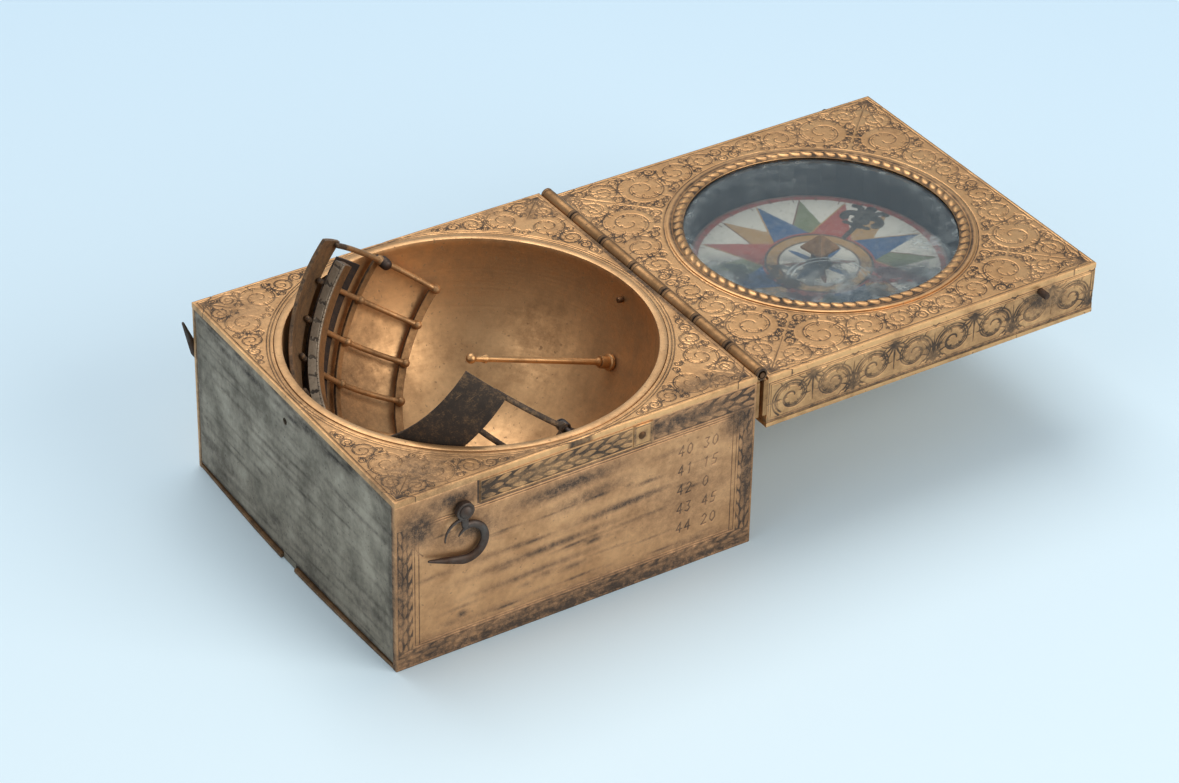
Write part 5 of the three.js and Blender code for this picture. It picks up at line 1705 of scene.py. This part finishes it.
class DIAL_OT_stage(bpy.types.Operator):
    """Sets the floor, the soft lamps, the pale surround and the camera"""

    bl_idname = "dial.stage"
    bl_label = "Stage"

    def execute(self, context):
        scene = context.scene
        scene.view_settings.view_transform = "Standard"
        self.floor(tuple(scene.dial_colours.floor_near), tuple(scene.dial_colours.floor_far))
        self.surround(scene)
        for lamp in LAMPS:
            self.lamp(*lamp)
        self.camera(scene)
        return {"FINISHED"}

    def floor(self, near, far):
        """A wide sheet that curves up behind the dial: level, then a quarter circle, then upright, in the
        direction away from the camera."""
        away = np.array(VIEW_AWAY)
        side = np.array([VIEW_AWAY[1], -VIEW_AWAY[0]])
        run = np.linspace(FLOOR_START, FLOOR_END, FLOOR_ROWS)
        bend = np.radians(np.linspace(0, 90, 16))
        curve = np.stack([FLOOR_END + FLOOR_BEND * np.sin(bend), FLOOR_BEND * (1 - np.cos(bend))], -1)[1:]
        level = np.stack([run, np.zeros(FLOOR_ROWS)], -1)
        profile = np.concatenate([level, curve, [[FLOOR_END + FLOOR_BEND, FLOOR_TOP]]])
        across = np.linspace(-4, 4, FLOOR_COLUMNS)
        points = np.zeros((len(profile), FLOOR_COLUMNS, 3))
        points[..., :2] = profile[:, None, :1] * away + across[None, :, None] * side
        points[..., 2] = profile[:, None, 1]
        mesh = bpy.data.meshes.new("backdrop")
        faces = grid_faces(len(profile), FLOOR_COLUMNS)[:, ::-1]
        mesh.from_pydata(points.reshape(-1, 3).tolist(), [], faces.tolist())
        mesh.polygons.foreach_set("use_smooth", np.ones(len(mesh.polygons), bool))
        material, n, shader = new_material("pale_paper")
        # Painted shade: the colour passes from the near to the far one going away from the camera.
        ahead = n.add("VectorMath", {0: n.place(), 1: (*VIEW_AWAY, 0.0)}, operation="DOT_PRODUCT")
        share = n.ramp(ahead.outputs["Value"], -0.16, 0.3)
        n.link(n.mix(share, near, far), shader.inputs["Base Color"])
        shader.inputs["Roughness"].default_value = 0.9
        shader.inputs["Specular IOR Level"].default_value = 0.2
        mesh.materials.append(material)
        backdrop = bpy.data.objects.new("backdrop", mesh)
        bpy.context.scene.collection.objects.link(backdrop)

    def surround(self, scene):
        """An even pale light from all round."""
        world = scene.world or bpy.data.worlds.new("surround")
        scene.world = world
        world.use_nodes = True
        light = world.node_tree.nodes["Background"]
        light.inputs["Color"].default_value = (0.82, 0.9, 1.0, 1)
        light.inputs["Strength"].default_value = 0.4

    def lamp(self, name, place, size, power, colour):
        """A square soft lamp turned to the dial."""
        data = bpy.data.lights.new(name, "AREA")
        data.size = size
        data.energy = power
        data.color = colour
        lamp = bpy.data.objects.new(name, data)
        lamp.location = place
        lamp.rotation_euler = (LAMP_AIM - Vector(place)).to_track_quat("-Z", "Y").to_euler()
        bpy.context.scene.collection.objects.link(lamp)

    def camera(self, scene):
        """The photograph's view: rows are the picture's right, up and backward ways."""
        data = bpy.data.cameras.new("camera")
        data.sensor_fit = "HORIZONTAL"
        data.sensor_width = SENSOR_WIDTH
        data.lens = FOCAL_PIXELS / PICTURE_PIXELS * SENSOR_WIDTH
        data.clip_start = 0.01
        camera = bpy.data.objects.new("camera", data)
        turn = Matrix((CAMERA_RIGHT, -CAMERA_DOWN, -CAMERA_AHEAD)).transposed().to_4x4()
        camera.matrix_world = Matrix.Translation(CAMERA_PLACE) @ turn
        scene.collection.objects.link(camera)
        scene.camera = camera


class DIAL_PT_panel(bpy.types.Panel):
    """Lists the steps, sizes and colours of the dial"""

    bl_idname = "DIAL_PT_panel"
    bl_label = "Scaphe Dial"
    bl_space_type = "VIEW_3D"
    bl_region_type = "UI"
    bl_category = "Scaphe Dial"

    def draw(self, context):
        for step in STEPS:
            self.layout.operator(step.bl_idname)
        for group in (context.scene.dial_sizes, context.scene.dial_colours):
            for name in group.__annotations__:
                self.layout.prop(group, name)


STEPS = (
    DIAL_OT_case,
    DIAL_OT_bowl,
    DIAL_OT_strip,
    DIAL_OT_hinge,
    DIAL_OT_lid,
    DIAL_OT_compass,
    DIAL_OT_hooks,
    DIAL_OT_cage,
    DIAL_OT_gnomon,
    DIAL_OT_stage,
)
CLASSES = (DialSizes, DialColours) + STEPS + (DIAL_PT_panel,)


def register():
    """Adds the classes and the settings."""
    for item in CLASSES:
        bpy.utils.register_class(item)
    bpy.types.Scene.dial_sizes = PointerProperty(type=DialSizes)
    bpy.types.Scene.dial_colours = PointerProperty(type=DialColours)


def unregister():
    """Takes the settings and the classes away."""
    del bpy.types.Scene.dial_colours
    del bpy.types.Scene.dial_sizes
    for item in reversed(CLASSES):
        bpy.utils.unregister_class(item)


def main():
    """Makes the finishes and runs every step in order."""
    register()
    FINISH.update(make_materials(bpy.context.scene.dial_colours))
    bpy.ops.dial.case()
    bpy.ops.dial.bowl()
    bpy.ops.dial.strip()
    bpy.ops.dial.hinge()
    bpy.ops.dial.lid()
    bpy.ops.dial.compass()
    bpy.ops.dial.hooks()
    bpy.ops.dial.cage()
    bpy.ops.dial.gnomon()
    bpy.ops.dial.stage()


if __name__ == "__main__":
    main()
